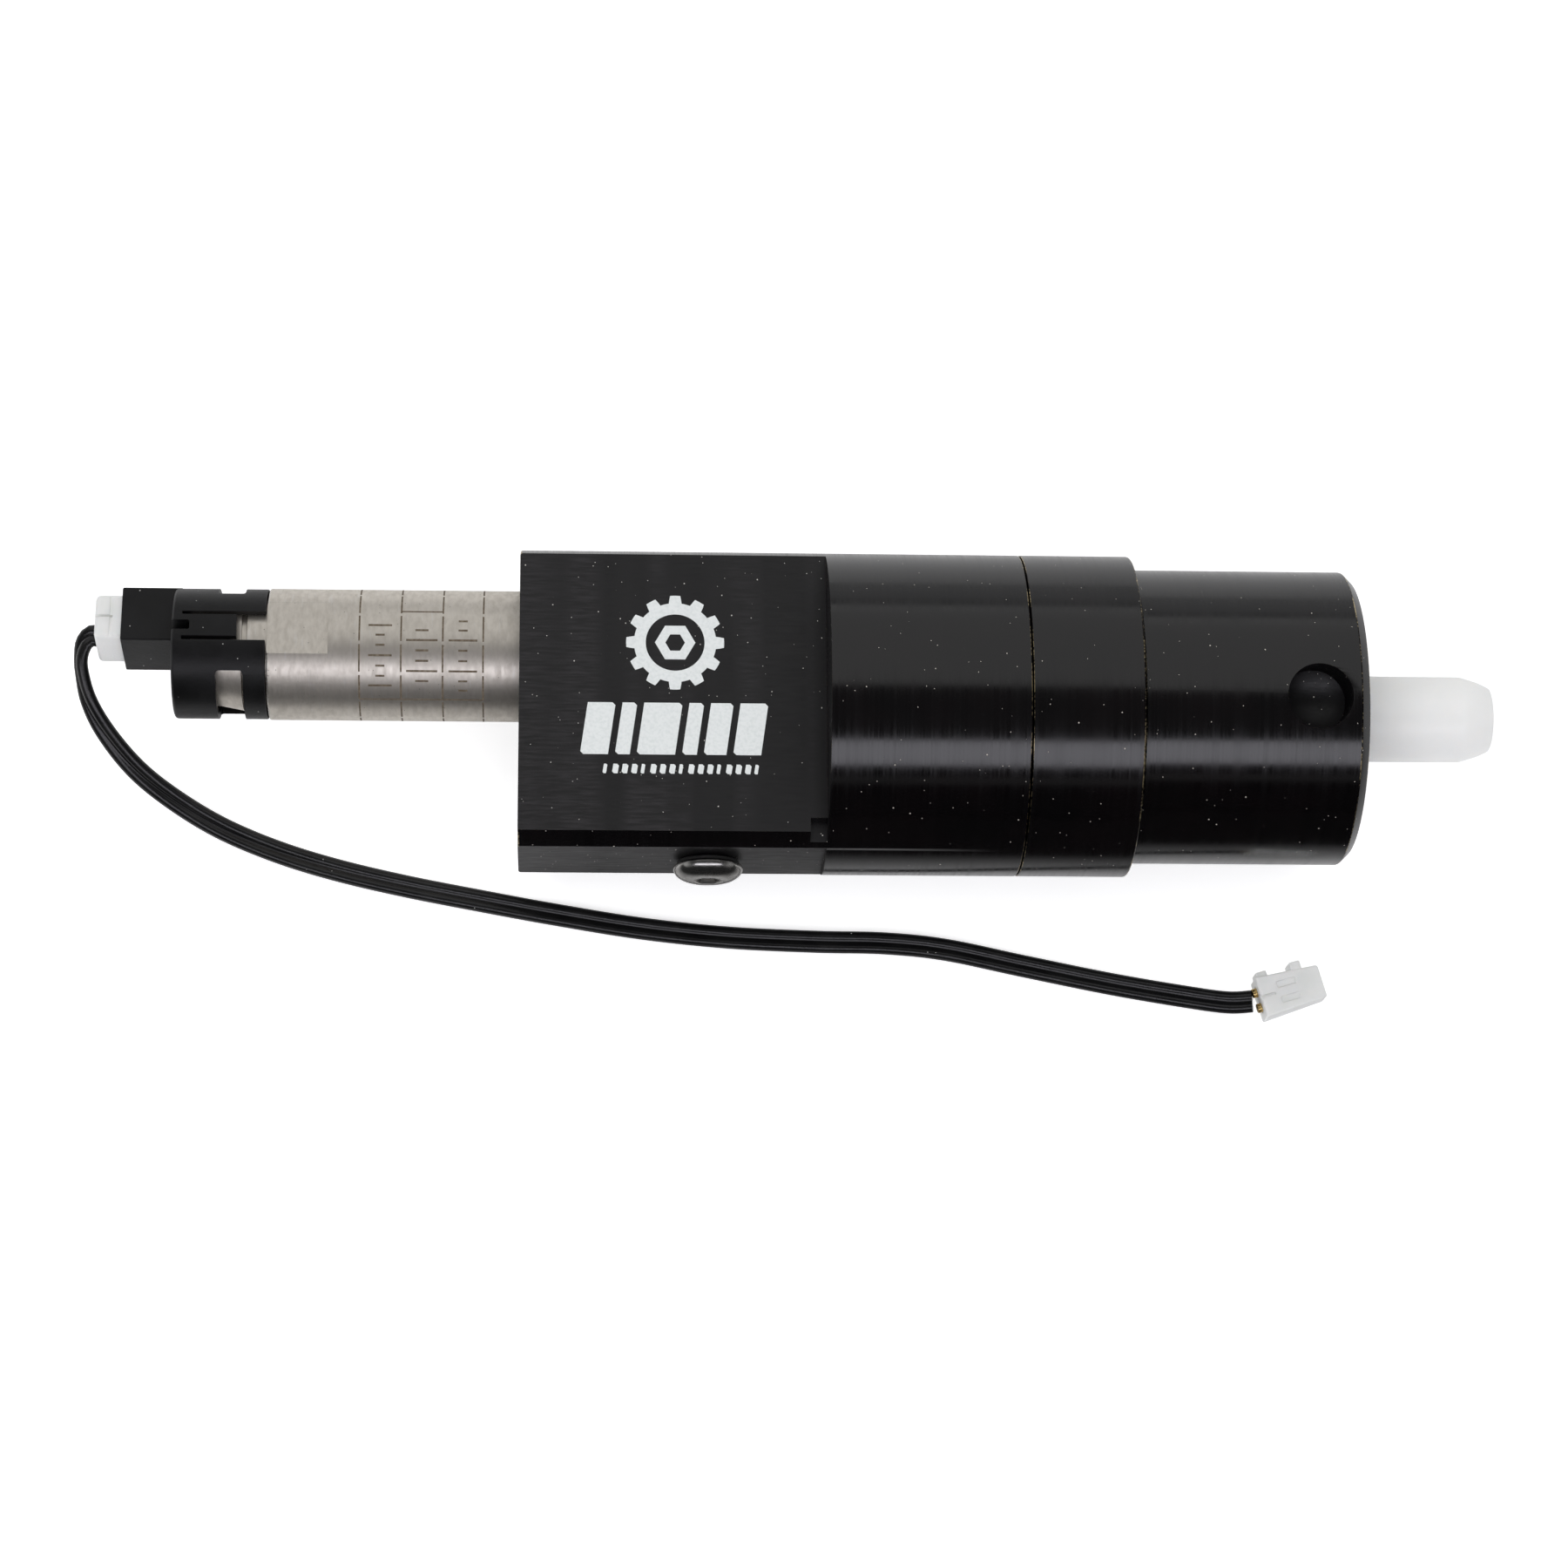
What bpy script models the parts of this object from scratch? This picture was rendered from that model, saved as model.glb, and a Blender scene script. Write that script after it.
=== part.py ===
"""Electro-pneumatic nozzle actuator: a round air cylinder with a solenoid valve behind it and a plug-in lead.

All the sizes below are in millimetres. The device frame has its X axis on the cylinder's axis, x = 0 at the
rear face of the valve block and +X towards the nozzle; +Z is square to the wide flat and +Y runs to the
solenoid's side. The parent empty shifts this frame so that the origin lies under the middle of the device,
on the surface that it rests on.
"""

import math

import bmesh
import bpy
from mathutils import Euler, Matrix, Vector

MM = 0.001
BIG_SIDES = 40  # facets round the 25 mm parts, a multiple of 4 so that one lies flat underneath
MID_SIDES = 32  # facets round the solenoid and the nozzle
SMALL_SIDES = 20  # facets round rings and screws
CONTACT_SIDES = 12  # facets round the crimped contacts
TINY_SIDES = 8  # facets round the header's pins and the feed passage
RING_SIDES = 6  # facets round an O-ring's section
RING_GAP = 0.06  # between an O-ring and the walls of its groove
DOME_STEPS = 5  # facets from the side to the top of a domed screw head
SEAM = 0.1  # gap between two faces that are screwed or pressed together
FIT = 0.1  # radial clearance of pieces that fit inside each other
EDGE = 0.25  # chamfer broken on turned edges

# Valve block
BLOCK_RADIUS = 12.5
FLAT_LENGTH = 23.5  # length of both flats from the rear face
CAN_ROOF = 1.8  # metal between the solenoid's bore and the wide flat
SIDE_FLAT_DEPTH = 0.7
NOTCH = (1.3, 1.1)  # small step at the front corner of the wide flat: length, height
CAN_Y = 4.75  # solenoid axis
CAN_Z = -1.0
VALVE_SEAT_X = 20.0  # bottom of the solenoid's bore
BULKHEAD = 8.0  # metal between that bore and the air chamber
INLET_Y = -6.6
INLET_Z = -1.5
INLET_RADIUS = 2.1  # thread core of the air inlet
INLET_DEPTH = 17.0
PORT_RADIUS = 1.25  # drilled air passages
CHAMBER_RADIUS = 8.25
CHAMBER_LENGTH = 5.0
SPIGOT_DEPTH = 5.6  # counterbore that takes the cylinder's rear spigot
SPIGOT_WALL = 2.0  # of the block round that counterbore

# Cylinder
RING_LENGTH = 8.5  # its visible band
CYLINDER_WALL = 1.6
REAR_BORE_STEP = 1.2
REAR_BORE_LENGTH = 7.3
SEAL_GROOVE_X = 2.1  # rear spigot's groove, from the spigot's rear end
SEAL_GROOVE = (1.4, 1.25)  # width, depth

# Nose
NOSE_STEP = 1.05  # from the cylinder's band down to the nose
NOSE_WALL = 1.75
NOSE_CHAMFER = 0.7
GUIDE_LENGTH = 6.2  # of the bore that guides the nozzle
POCKET_STEP = 2.0  # from the cylinder's bore down to the spring's pocket
POCKET_LENGTH = 3.0  # of that pocket, behind the guide
ROD_GROOVE = (1.4, 0.9)  # width, depth of the groove for the ring that wipes the nozzle
SPANNER_HOLES = 3
SPANNER_RADIUS = 2.5
SPANNER_FROM_FRONT = 3.9
SPANNER_DEPTH = 3.6
SPANNER_TIP = 1.4
SPANNER_ANGLE = 7.0  # degrees from +Z towards -Y

# Nozzle, with its piston at the rear
NOZZLE_RADIUS = 3.35
NOZZLE_BORE = 2.25
NOZZLE_REACH = 11.3  # beyond the nose at rest
NOZZLE_TRAVEL = 8.0
TIP_TAPER = 2.3  # length
TIP_LIP = 0.25  # wall at the tip's end
TIP_ROUND = 0.15
PISTON_LENGTH = 3.4
PISTON_GROOVE = (1.0, 1.4, 1.15)  # start from the rear face, width, depth
REAR_BUMPER_LENGTH = 0.6
FRONT_BUMPER_LENGTH = 2.5

# Stem fixed in the block, which the nozzle slides over
STEM_CLEARANCE = 0.15  # of its head in the nozzle's bore
STEM_STEP = 0.5  # from the head down to the shaft
STEM_HEAD_LENGTH = 2.3
STEM_OVERLAP = 7.3  # from the nozzle's rear face to the stem's front end at rest
STEM_FLANGE = (1.2, 1.1)  # beyond the shaft, length
STEM_GROOVE = (0.8, 0.6)  # width, depth
STEM_SOCKET = 4.0  # depth of its thread in the bulkhead

# Return spring
SPRING_PLAY = 0.93  # between the nozzle and the spring
SPRING_WIRE_RADIUS = 0.32
SPRING_TURNS = 5.5
SPRING_STEPS = 16  # points per turn

# Sealing screw in the narrow flat
SCREW_TO_SEAT = 5.4  # from its axis forward to the bottom of the solenoid's bore
SCREW_HEAD_RADIUS = 2.7
SCREW_HEAD_HEIGHT = 1.13
SCREW_SHANK_RADIUS = 1.42
SCREW_SHANK_LENGTH = 2.6
SCREW_CROWN = 0.42  # share of the head's radius that stays flat on top
SCREW_HEX = 1.7  # across flats
SCREW_HEX_DEPTH = 0.75
SCREW_SEAL = (0.13, 2.4, 0.28)  # play round the shank, outer radius, thickness

# Solenoid
CAN_RADIUS = 5.1
CAN_WALL = 0.9
CAN_SHOULDER_X = -19.4  # front end of the end cap's seat
CAN_TO_SCREW = 5.6  # from the case's front end forward to the screw's axis
NECK_STEP = 0.7
NECK_LENGTH = 6.0
NECK_WALL = 1.4  # its rear end
NECK_SIDE = 1.0
SHOULDER_WALL = 1.0
SNAP_GROOVE = (0.4, 0.35)  # width, depth
WRENCH_FLAT = (0.5, 4.7)  # depth, length
CLOCK = 10.0  # degrees that the solenoid is turned, from +Z towards +Y
CORE_FLANGE = 1.2
POLE_RADIUS = 2.0
BOBBIN_FLANGE = 0.7
BOBBIN_WALL = 0.45
BOBBIN_FRONT_X = -1.0
COIL_INSET = 0.15
ARMATURE_PLAY = 0.05
ARMATURE_LENGTH = 11.7
ARMATURE_TRAVEL = 0.4
POLE_FACE_X = -4.2
SEAL_PAD = (0.65, 1.25, 0.6)  # metal round it, length, depth of its pocket
COIL_SPRING = (0.8, 0.12, 6.0)  # mean radius, wire radius, turns
COIL_STEPS = 12  # points per turn
COIL_SPRING_POCKET = (0.3, 3.0, 2.0)  # beyond the spring's radius, depth in armature, depth in pole
VALVE_FRONT_GAP = 0.2
VALVE_GROOVE_FROM_INLET = (-3.2, 3.3)  # middle of each O-ring groove
VALVE_GROOVE = (1.4, 0.9)  # width, depth
VALVE_GALLERY = 2.8  # width of the groove that the inlet feeds
ORIFICE_RADIUS = 0.8
SEAT_LIP = 0.35
FEED_RADIUS = 0.4
FEED_OFFSET = 0.85  # from the orifice's edge to the feed's axis

# End cap with its header; V and W are the solenoid's own cross axes, turned by CLOCK
CAP_STEP = 0.05  # from the solenoid's side down to the cap's
CAP_LENGTH = 7.3
CAP_WALL = 1.2
SHROUD_LENGTH = 4.1
SHROUD_V = (-0.15, 4.4)
SHROUD_W = (-2.7, 2.65)
SHROUD_WALL = 0.3
SHROUD_FLOOR = 0.5
TONGUE_WIDTH = 1.85
TONGUE_GAP = 2.2  # from the cap's front end back to the tongue's tip
SLOT_WIDTH = 0.3
SLOT_LENGTH = 6.4
ROOT_HOLE = (1.4, 0.8, 0.4)  # length, width, height above the shroud
WINDOW = (3.8, 2.1)  # from the cap's front end back to its rear edge, length
WINDOW_INSET = 1.25  # from the cap's side in to the window's ends
PIN_RADIUS = 0.2
PIN_PITCH = 1.25
PIN_V = 2.1
PIN_W = -1.2
PIN_ENDS = (3.6, 3.9)  # from the cap's rear end back and forward

# Plug on the lead
PLUG_PROUD = 2.1  # beyond the shroud
PLUG_EDGE = 0.45
CONTACT_WALL = 0.15
PIN_PLAY = 0.1
CONTACT_INSET = 0.3
CONTACT_LENGTH = 4.2
CONTACT_BORE_LENGTH = 2.5

# Lead: two wires side by side
WIRE_RADIUS = 0.45
LEAD_POINT_SPACING = 2.0
LEAD_HOME = Vector((-32.9, 6.6, 9.95))  # plug end that the route below was drawn for
LEAD_REST_X = -8.9  # the lead lies on the surface in front of this
LEAD_ROUTE = (  # x, y, height above the surface, tilt in degrees from lying flat
    (-33.05, 6.6, 9.95, 0),
    (-33.45, 6.6, 9.93, 10),
    (-34.05, 6.15, 9.7, 40),
    (-34.35, 5.2, 9.3, 68),
    (-34.3, 4.0, 8.75, 75),
    (-33.7, 1.9, 7.7, 62),
    (-32.4, -0.3, 6.3, 46),
    (-30.2, -2.7, 4.6, 34),
    (-27.4, -4.7, 3.1, 26),
    (-23.7, -6.7, 1.8, 18),
    (-19.3, -8.4, 0.95, 10),
    (-14.5, -9.8, 0.55, 4),
    (-8.9, -11.1, 0.5, 0),
    (-2.7, -12.3, 0.5, 0),
    (2.8, -13.3, 0.5, 0),
    (9.7, -14.4, 0.5, 0),
    (16.6, -15.1, 0.5, 0),
    (23.6, -15.4, 0.5, 0),
    (29.1, -15.5, 0.5, 0),
    (34.0, -16.0, 0.5, 0),
    (40.2, -17.3, 0.5, 0),
    (47.1, -18.7, 0.5, 0),
    (53.0, -19.7, 0.5, 0),
    (56.4, -20.2, 0.7, 0),
    (58.35, -20.2, 1.15, 0),
)

# Connector at the far end of the lead
FAR_CONTACT_TAIL = 0.35
FAR_LENGTH = 5.2
FAR_WIDTH = 3.3
FAR_THICKNESS = 2.6
FAR_TURN = 16.0  # degrees from +X towards +Y
FAR_NOSE = (1.1, 0.35)  # length and depth of its front bevel
FAR_LATCH = (0.9, 2.0, 0.45)  # length, width, height
FAR_LUG = (0.9, 1.8, 0.4)  # length, width, height
FAR_CONTACT_WALL = 0.1
FAR_REST = 0.05  # gap to the surface below

# Radii that follow from the sizes above, from the outside in
REAR_SPIGOT_RADIUS = BLOCK_RADIUS - SPIGOT_WALL - FIT
NOSE_RADIUS = BLOCK_RADIUS - NOSE_STEP
FRONT_SPIGOT_RADIUS = NOSE_RADIUS - NOSE_WALL - FIT
CYLINDER_BORE = FRONT_SPIGOT_RADIUS - CYLINDER_WALL
PISTON_RADIUS = CYLINDER_BORE - FIT
REAR_BORE_RADIUS = CYLINDER_BORE - REAR_BORE_STEP
SPRING_POCKET_RADIUS = CYLINDER_BORE - POCKET_STEP
SPRING_MEAN_RADIUS = NOZZLE_RADIUS + SPRING_PLAY + SPRING_WIRE_RADIUS
STEM_HEAD_RADIUS = NOZZLE_BORE - STEM_CLEARANCE
STEM_RADIUS = STEM_HEAD_RADIUS - STEM_STEP
CAN_BORE = CAN_RADIUS - CAN_WALL
NECK_RADIUS = CAN_RADIUS - NECK_STEP
NECK_BORE = NECK_RADIUS - NECK_SIDE
CAP_RADIUS = CAN_RADIUS - CAP_STEP
BOBBIN_RADIUS = CAN_BORE - FIT
BOBBIN_BORE = POLE_RADIUS + FIT
COIL_RADIUS = BOBBIN_RADIUS - COIL_INSET
ARMATURE_RADIUS = POLE_RADIUS - ARMATURE_PLAY
CONTACT_BORE = PIN_RADIUS + PIN_PLAY
CONTACT_RADIUS = CONTACT_BORE + CONTACT_WALL
FAR_CONTACT_RADIUS = CONTACT_BORE + FAR_CONTACT_WALL
SIDE_FLAT = BLOCK_RADIUS - SIDE_FLAT_DEPTH  # distance of the narrow flat from the axis, towards -Y
TOP_FLAT = CAN_Z + CAN_RADIUS + FIT + CAN_ROOF  # height of the wide flat above the axis

# Stations along the axis that follow from the sizes above
SCREW_X = VALVE_SEAT_X - SCREW_TO_SEAT
CAN_FRONT_X = SCREW_X - CAN_TO_SCREW
CHAMBER_X = VALVE_SEAT_X + BULKHEAD
SPIGOT_X = CHAMBER_X + CHAMBER_LENGTH
BLOCK_LENGTH = SPIGOT_X + SPIGOT_DEPTH
RING_X = BLOCK_LENGTH + SEAM
NOSE_X = RING_X + RING_LENGTH + SEAM
REAR_BORE_END_X = SPIGOT_X + SEAM + REAR_BORE_LENGTH
PISTON_X = REAR_BORE_END_X + REAR_BUMPER_LENGTH + 2 * SEAM
PISTON_FRONT_X = PISTON_X + PISTON_LENGTH
FRONT_BUMPER_X = PISTON_FRONT_X + NOZZLE_TRAVEL + SEAM
SHOULDER_X = FRONT_BUMPER_X + FRONT_BUMPER_LENGTH + SEAM
CYLINDER_FRONT_X = SHOULDER_X - 2 * SEAM
GUIDE_X = SHOULDER_X + POCKET_LENGTH
NOSE_FRONT_X = GUIDE_X + GUIDE_LENGTH
TIP_X = NOSE_FRONT_X + NOZZLE_REACH
STEM_FRONT_X = PISTON_X + STEM_OVERLAP
CAN_REAR_X = CAN_SHOULDER_X - NECK_LENGTH
CAN_FLOOR_X = CAN_REAR_X + NECK_WALL
CAN_BORE_X = CAN_SHOULDER_X + SHOULDER_WALL
CORE_X = CAN_BORE_X + SEAM
BOBBIN_X = CORE_X + CORE_FLANGE + SEAM
ARMATURE_X = POLE_FACE_X + ARMATURE_TRAVEL + SEAM
ARMATURE_FRONT_X = ARMATURE_X + ARMATURE_LENGTH
PAD_X = ARMATURE_FRONT_X - SEAL_PAD[2] + SEAM
SEAT_X = PAD_X + SEAL_PAD[1] + SEAM
VALVE_X = CAN_FRONT_X + SEAM
VALVE_FRONT_X = VALVE_SEAT_X - VALVE_FRONT_GAP
CAP_REAR_X = CAN_SHOULDER_X - CAP_LENGTH
CAP_FRONT_X = CAN_SHOULDER_X - SEAM
SHROUD_REAR_X = CAP_REAR_X - SHROUD_LENGTH
PLUG_REAR_X = SHROUD_REAR_X - PLUG_PROUD
PLUG_FRONT_X = CAP_REAR_X - SHROUD_FLOOR - 2 * SEAM
SCREW_TOP = 2 * SEAM + SCREW_SEAL[2] + SCREW_HEAD_HEIGHT
CENTRE_X = (SHROUD_REAR_X + TIP_X) / 2
CENTRE_Y = (BLOCK_RADIUS - SIDE_FLAT - SCREW_TOP) / 2
FAR_REAR = Vector((58.85, -20.15, FAR_THICKNESS / 2 + FAR_REST - BLOCK_RADIUS))


# Finishes


def finish(name, colour, roughness, metallic=0.0):
    """A Principled material."""
    material = bpy.data.materials.new(name)
    material.use_nodes = True
    shader = material.node_tree.nodes["Principled BSDF"]
    shader.inputs["Base Color"].default_value = (*colour, 1.0)
    shader.inputs["Roughness"].default_value = roughness
    shader.inputs["Metallic"].default_value = metallic
    material.diffuse_color = (*colour, 1.0)
    return material


# Shapes


def add(name, mesh_or_curve, material, parent, place=(0, 0, 0), turn=(0, 0, 0)):
    """Links an object; its place is in millimetres and its turn in degrees."""
    thing = bpy.data.objects.new(name, mesh_or_curve)
    bpy.context.scene.collection.objects.link(thing)
    thing.parent = parent
    thing.location = Vector(place) * MM
    thing.rotation_euler = Euler([math.radians(angle) for angle in turn])
    if material:
        mesh_or_curve.materials.append(material)
    return thing


def mesh_of(name, shape, smooth_below=40.0):
    """A mesh from a bmesh in millimetres, with its round sides smooth."""
    bmesh.ops.recalc_face_normals(shape, faces=shape.faces)
    mesh = bpy.data.meshes.new(name)
    bmesh.ops.scale(shape, vec=(MM, MM, MM), verts=shape.verts)
    shape.to_mesh(mesh)
    shape.free()
    mesh.shade_smooth()
    mesh.set_sharp_from_angle(angle=math.radians(smooth_below))
    return mesh


def turned_mesh(name, profile, sides):
    """Spins a profile of (x, radius) points about X: from axis to axis, or a ring's closed outline.

    A facet is centred on each of +Z, -Z, +Y and -Y when sides is a multiple of four.
    """
    shape = bmesh.new()
    half = math.pi / sides
    reach = 1 / math.cos(half)  # puts the middle of each facet at the radius
    across, up = math.sin(half) * reach, math.cos(half) * reach
    corners = [shape.verts.new((x, radius * across, radius * up)) for x, radius in profile]
    pairs = list(zip(corners, corners[1:]))
    if profile[0][1] > 0:
        pairs.append((corners[-1], corners[0]))
    edges = [shape.edges.new(pair) for pair in pairs]
    spun = corners + edges
    bmesh.ops.spin(shape, geom=spun, axis=(1, 0, 0), angle=math.tau, steps=sides, use_merge=True)
    bmesh.ops.remove_doubles(shape, verts=shape.verts, dist=1e-5)
    return mesh_of(name, shape)


def turned(name, profile, material, parent, sides=BIG_SIDES, place=(0, 0, 0), turn=(0, 0, 0)):
    return add(name, turned_mesh(name, profile, sides), material, parent, place, turn)


def box_mesh(name, low, high, edge=0.0):
    """A box between two corners, with all its edges broken by a bevel."""
    shape = bmesh.new()
    bmesh.ops.create_cube(shape, size=1.0)
    low, high = Vector(low), Vector(high)
    bmesh.ops.scale(shape, vec=high - low, verts=shape.verts)
    bmesh.ops.translate(shape, vec=(high + low) / 2, verts=shape.verts)
    if edge:
        bmesh.ops.bevel(shape, geom=shape.edges, offset=edge, segments=1, affect="EDGES")
    return mesh_of(name, shape, 20.0)


def boolean(target, other, operation="DIFFERENCE"):
    """Cuts target with a hidden helper, or joins the helper to it."""
    other.hide_render = True
    other.display_type = "WIRE"
    modifier = target.modifiers.new(other.name, "BOOLEAN")
    modifier.operation = operation
    modifier.object = other


def drill(target, radius, start, length, direction=(1, 0, 0), tip=0.0, sides=SMALL_SIDES):
    """Drills target from start (in its own frame) along direction, with an optional conical bottom."""
    profile = [(0, 0), (0, radius), (length, radius)]
    profile += [(length + tip, 0)] if tip else [(length, 0)]
    name = f"{target.name}_drill_{len(target.modifiers)}"
    cutter = add(name, turned_mesh(name, profile, sides), None, target, start)
    cutter.rotation_euler = Vector((1, 0, 0)).rotation_difference(Vector(direction)).to_euler()
    boolean(target, cutter)


def mill(target, low, high, operation="DIFFERENCE"):
    """Removes a box (in the target's own frame) from target, or joins it on."""
    name = f"{target.name}_box_{len(target.modifiers)}"
    boolean(target, add(name, box_mesh(name, low, high), None, target), operation)


def ring_profile(x, radius, section):
    """The round section of an O-ring whose middle is at (x, radius)."""
    angles = [math.tau * (step + 0.5) / RING_SIDES for step in range(RING_SIDES)]
    return [(x + section * math.cos(a), radius + section * math.sin(a)) for a in angles]


def sleeve_profile(x_start, x_end, inner, outer):
    return [(x_start, inner), (x_start, outer), (x_end, outer), (x_end, inner)]


def curve_of(name, points, radius, resolution, tilts=None, half_flat=0.0):
    """A tube along points, in millimetres; half_flat widens its section to a flat one."""
    curve = bpy.data.curves.new(name, "CURVE")
    curve.dimensions = "3D"
    curve.twist_mode = "Z_UP"
    curve.bevel_depth = radius * MM
    curve.bevel_resolution = resolution
    curve.extrude = half_flat * MM
    curve.use_fill_caps = True
    line = curve.splines.new("POLY")
    line.points.add(len(points) - 1)
    for index, point in enumerate(points):
        line.points[index].co = (*(Vector(point) * MM), 1.0)
        line.points[index].tilt = math.radians(tilts[index]) if tilts else 0.0
    return curve


def coil_spring(name, ends, coil, material, parent, place=(0, 0, 0)):
    """A helix about X, between the two planes that its ends touch.

    coil holds its mean radius, wire radius, turns, points per turn and bevel resolution.
    """
    radius, wire, turns, steps, resolution = coil
    first, last = ends[0] + SEAM + wire, ends[1] - SEAM - wire
    count = round(turns * steps)
    points = []
    for index in range(count + 1):
        share = index / count
        angle = share * turns * math.tau
        x = first + (last - first) * share
        points.append((x, radius * math.cos(angle), radius * math.sin(angle)))
    curve = curve_of(name, points, wire, resolution)
    curve.twist_mode = "MINIMUM"
    return add(name, curve, material, parent, place)


def catmull(before, start, end, after, share):
    """A point of the smooth curve between start and end."""
    square, cube = share * share, share**3
    return tuple(
        0.5
        * (
            2 * b
            + (c - a) * share
            + (2 * a - 5 * b + 4 * c - d) * square
            + (3 * b - a - 3 * c + d) * cube
        )
        for a, b, c, d in zip(before, start, end, after)
    )


def smooth_route(route, spacing):
    """Points on a smooth curve through the route: the route's own, and others about one spacing apart."""
    padded = [route[0], *route, route[-1]]
    points = [route[0]]
    for index, (start, end) in enumerate(zip(route, route[1:])):
        count = max(1, round((Vector(end[:3]) - Vector(start[:3])).length / spacing))
        points += [catmull(*padded[index : index + 4], step / count) for step in range(1, count + 1)]
    return points


# Sub-assemblies


def solenoid_place(x=0.0):
    return (x, CAN_Y, CAN_Z)


def clocked():
    return (-CLOCK, 0, 0)


def valve_block(parent, anodised):
    profile = [
        (0, 0),
        (0, BLOCK_RADIUS - EDGE),
        (EDGE, BLOCK_RADIUS),
        (BLOCK_LENGTH - EDGE, BLOCK_RADIUS),
        (BLOCK_LENGTH, BLOCK_RADIUS - EDGE),
        (BLOCK_LENGTH, REAR_SPIGOT_RADIUS + FIT),
        (SPIGOT_X, REAR_SPIGOT_RADIUS + FIT),
        (SPIGOT_X, CHAMBER_RADIUS),
        (CHAMBER_X, CHAMBER_RADIUS),
        (CHAMBER_X, 0),
    ]
    block = turned("valve_block", profile, anodised, parent)
    far = 2 * BLOCK_RADIUS
    mill(block, (-1, -far, TOP_FLAT), (FLAT_LENGTH, far, far))
    mill(block, (-1, -far, -far), (FLAT_LENGTH, -SIDE_FLAT, far))
    length, height = NOTCH
    corner = -math.sqrt(BLOCK_RADIUS**2 - TOP_FLAT**2)
    mill(block, (FLAT_LENGTH - length, -far, TOP_FLAT - height), (FLAT_LENGTH, corner + height, far))
    drill(block, CAN_RADIUS + FIT, solenoid_place(-1), VALVE_SEAT_X + 1, sides=MID_SIDES)
    drill(block, PORT_RADIUS, solenoid_place(VALVE_SEAT_X - 1), CHAMBER_X - VALVE_SEAT_X + 2)
    drill(block, STEM_RADIUS + FIT, (CHAMBER_X - STEM_SOCKET, 0, 0), STEM_SOCKET + 1)
    drill(block, INLET_RADIUS, (-1, INLET_Y, INLET_Z), INLET_DEPTH + 1, tip=INLET_RADIUS / 2)
    tap_end = SIDE_FLAT - SCREW_SHANK_LENGTH - 3 * SEAM
    across = (0, 1, 0)
    drill(block, SCREW_SHANK_RADIUS + FIT, (SCREW_X, -SIDE_FLAT - 1, 0), SIDE_FLAT + 1 - tap_end, across)
    drill(block, PORT_RADIUS, (SCREW_X, -tap_end - PORT_RADIUS, 0), tap_end + PORT_RADIUS, across)
    return block


def cylinder(parent, anodised):
    rear, front = SPIGOT_X + SEAM, RING_X + RING_LENGTH
    groove = rear + SEAL_GROOVE_X
    groove_width, groove_depth = SEAL_GROOVE
    bottom = REAR_SPIGOT_RADIUS - groove_depth
    profile = [
        (rear, REAR_BORE_RADIUS),
        (rear, REAR_SPIGOT_RADIUS - EDGE),
        (rear + EDGE, REAR_SPIGOT_RADIUS),
        (groove, REAR_SPIGOT_RADIUS),
        (groove, bottom),
        (groove + groove_width, bottom),
        (groove + groove_width, REAR_SPIGOT_RADIUS),
        (RING_X, REAR_SPIGOT_RADIUS),
        (RING_X, BLOCK_RADIUS - EDGE),
        (RING_X + EDGE, BLOCK_RADIUS),
        (front - EDGE, BLOCK_RADIUS),
        (front, BLOCK_RADIUS - EDGE),
        (front, FRONT_SPIGOT_RADIUS),
        (CYLINDER_FRONT_X, FRONT_SPIGOT_RADIUS),
        (CYLINDER_FRONT_X, CYLINDER_BORE),
        (REAR_BORE_END_X, CYLINDER_BORE),
        (REAR_BORE_END_X, REAR_BORE_RADIUS),
    ]
    turned("cylinder", profile, anodised, parent)


def nose(parent, anodised):
    groove_x, groove_width, groove_radius = rod_groove()
    guide = NOZZLE_RADIUS + FIT
    socket = FRONT_SPIGOT_RADIUS + FIT
    profile = [
        (NOSE_X, socket),
        (NOSE_X, NOSE_RADIUS - EDGE),
        (NOSE_X + EDGE, NOSE_RADIUS),
        (NOSE_FRONT_X - NOSE_CHAMFER, NOSE_RADIUS),
        (NOSE_FRONT_X, NOSE_RADIUS - NOSE_CHAMFER),
        (NOSE_FRONT_X, guide),
        (groove_x + groove_width, guide),
        (groove_x + groove_width, groove_radius),
        (groove_x, groove_radius),
        (groove_x, guide),
        (GUIDE_X, guide),
        (GUIDE_X, SPRING_POCKET_RADIUS),
        (SHOULDER_X, SPRING_POCKET_RADIUS),
        (SHOULDER_X, socket),
    ]
    body = turned("nose", profile, anodised, parent)
    for index in range(SPANNER_HOLES):
        angle = math.radians(SPANNER_ANGLE) + index * math.tau / SPANNER_HOLES
        outward = Vector((0, -math.sin(angle), math.cos(angle)))
        start = outward * (NOSE_RADIUS + 1) + Vector((NOSE_FRONT_X - SPANNER_FROM_FRONT, 0, 0))
        drill(body, SPANNER_RADIUS, start, SPANNER_DEPTH + 1, -outward, SPANNER_TIP)


def rod_groove():
    """Start, width and radius of the groove for the O-ring that wipes the nozzle."""
    width, depth = ROD_GROOVE
    return NOSE_FRONT_X - (GUIDE_LENGTH + width) / 2, width, NOZZLE_RADIUS + FIT + depth


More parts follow.
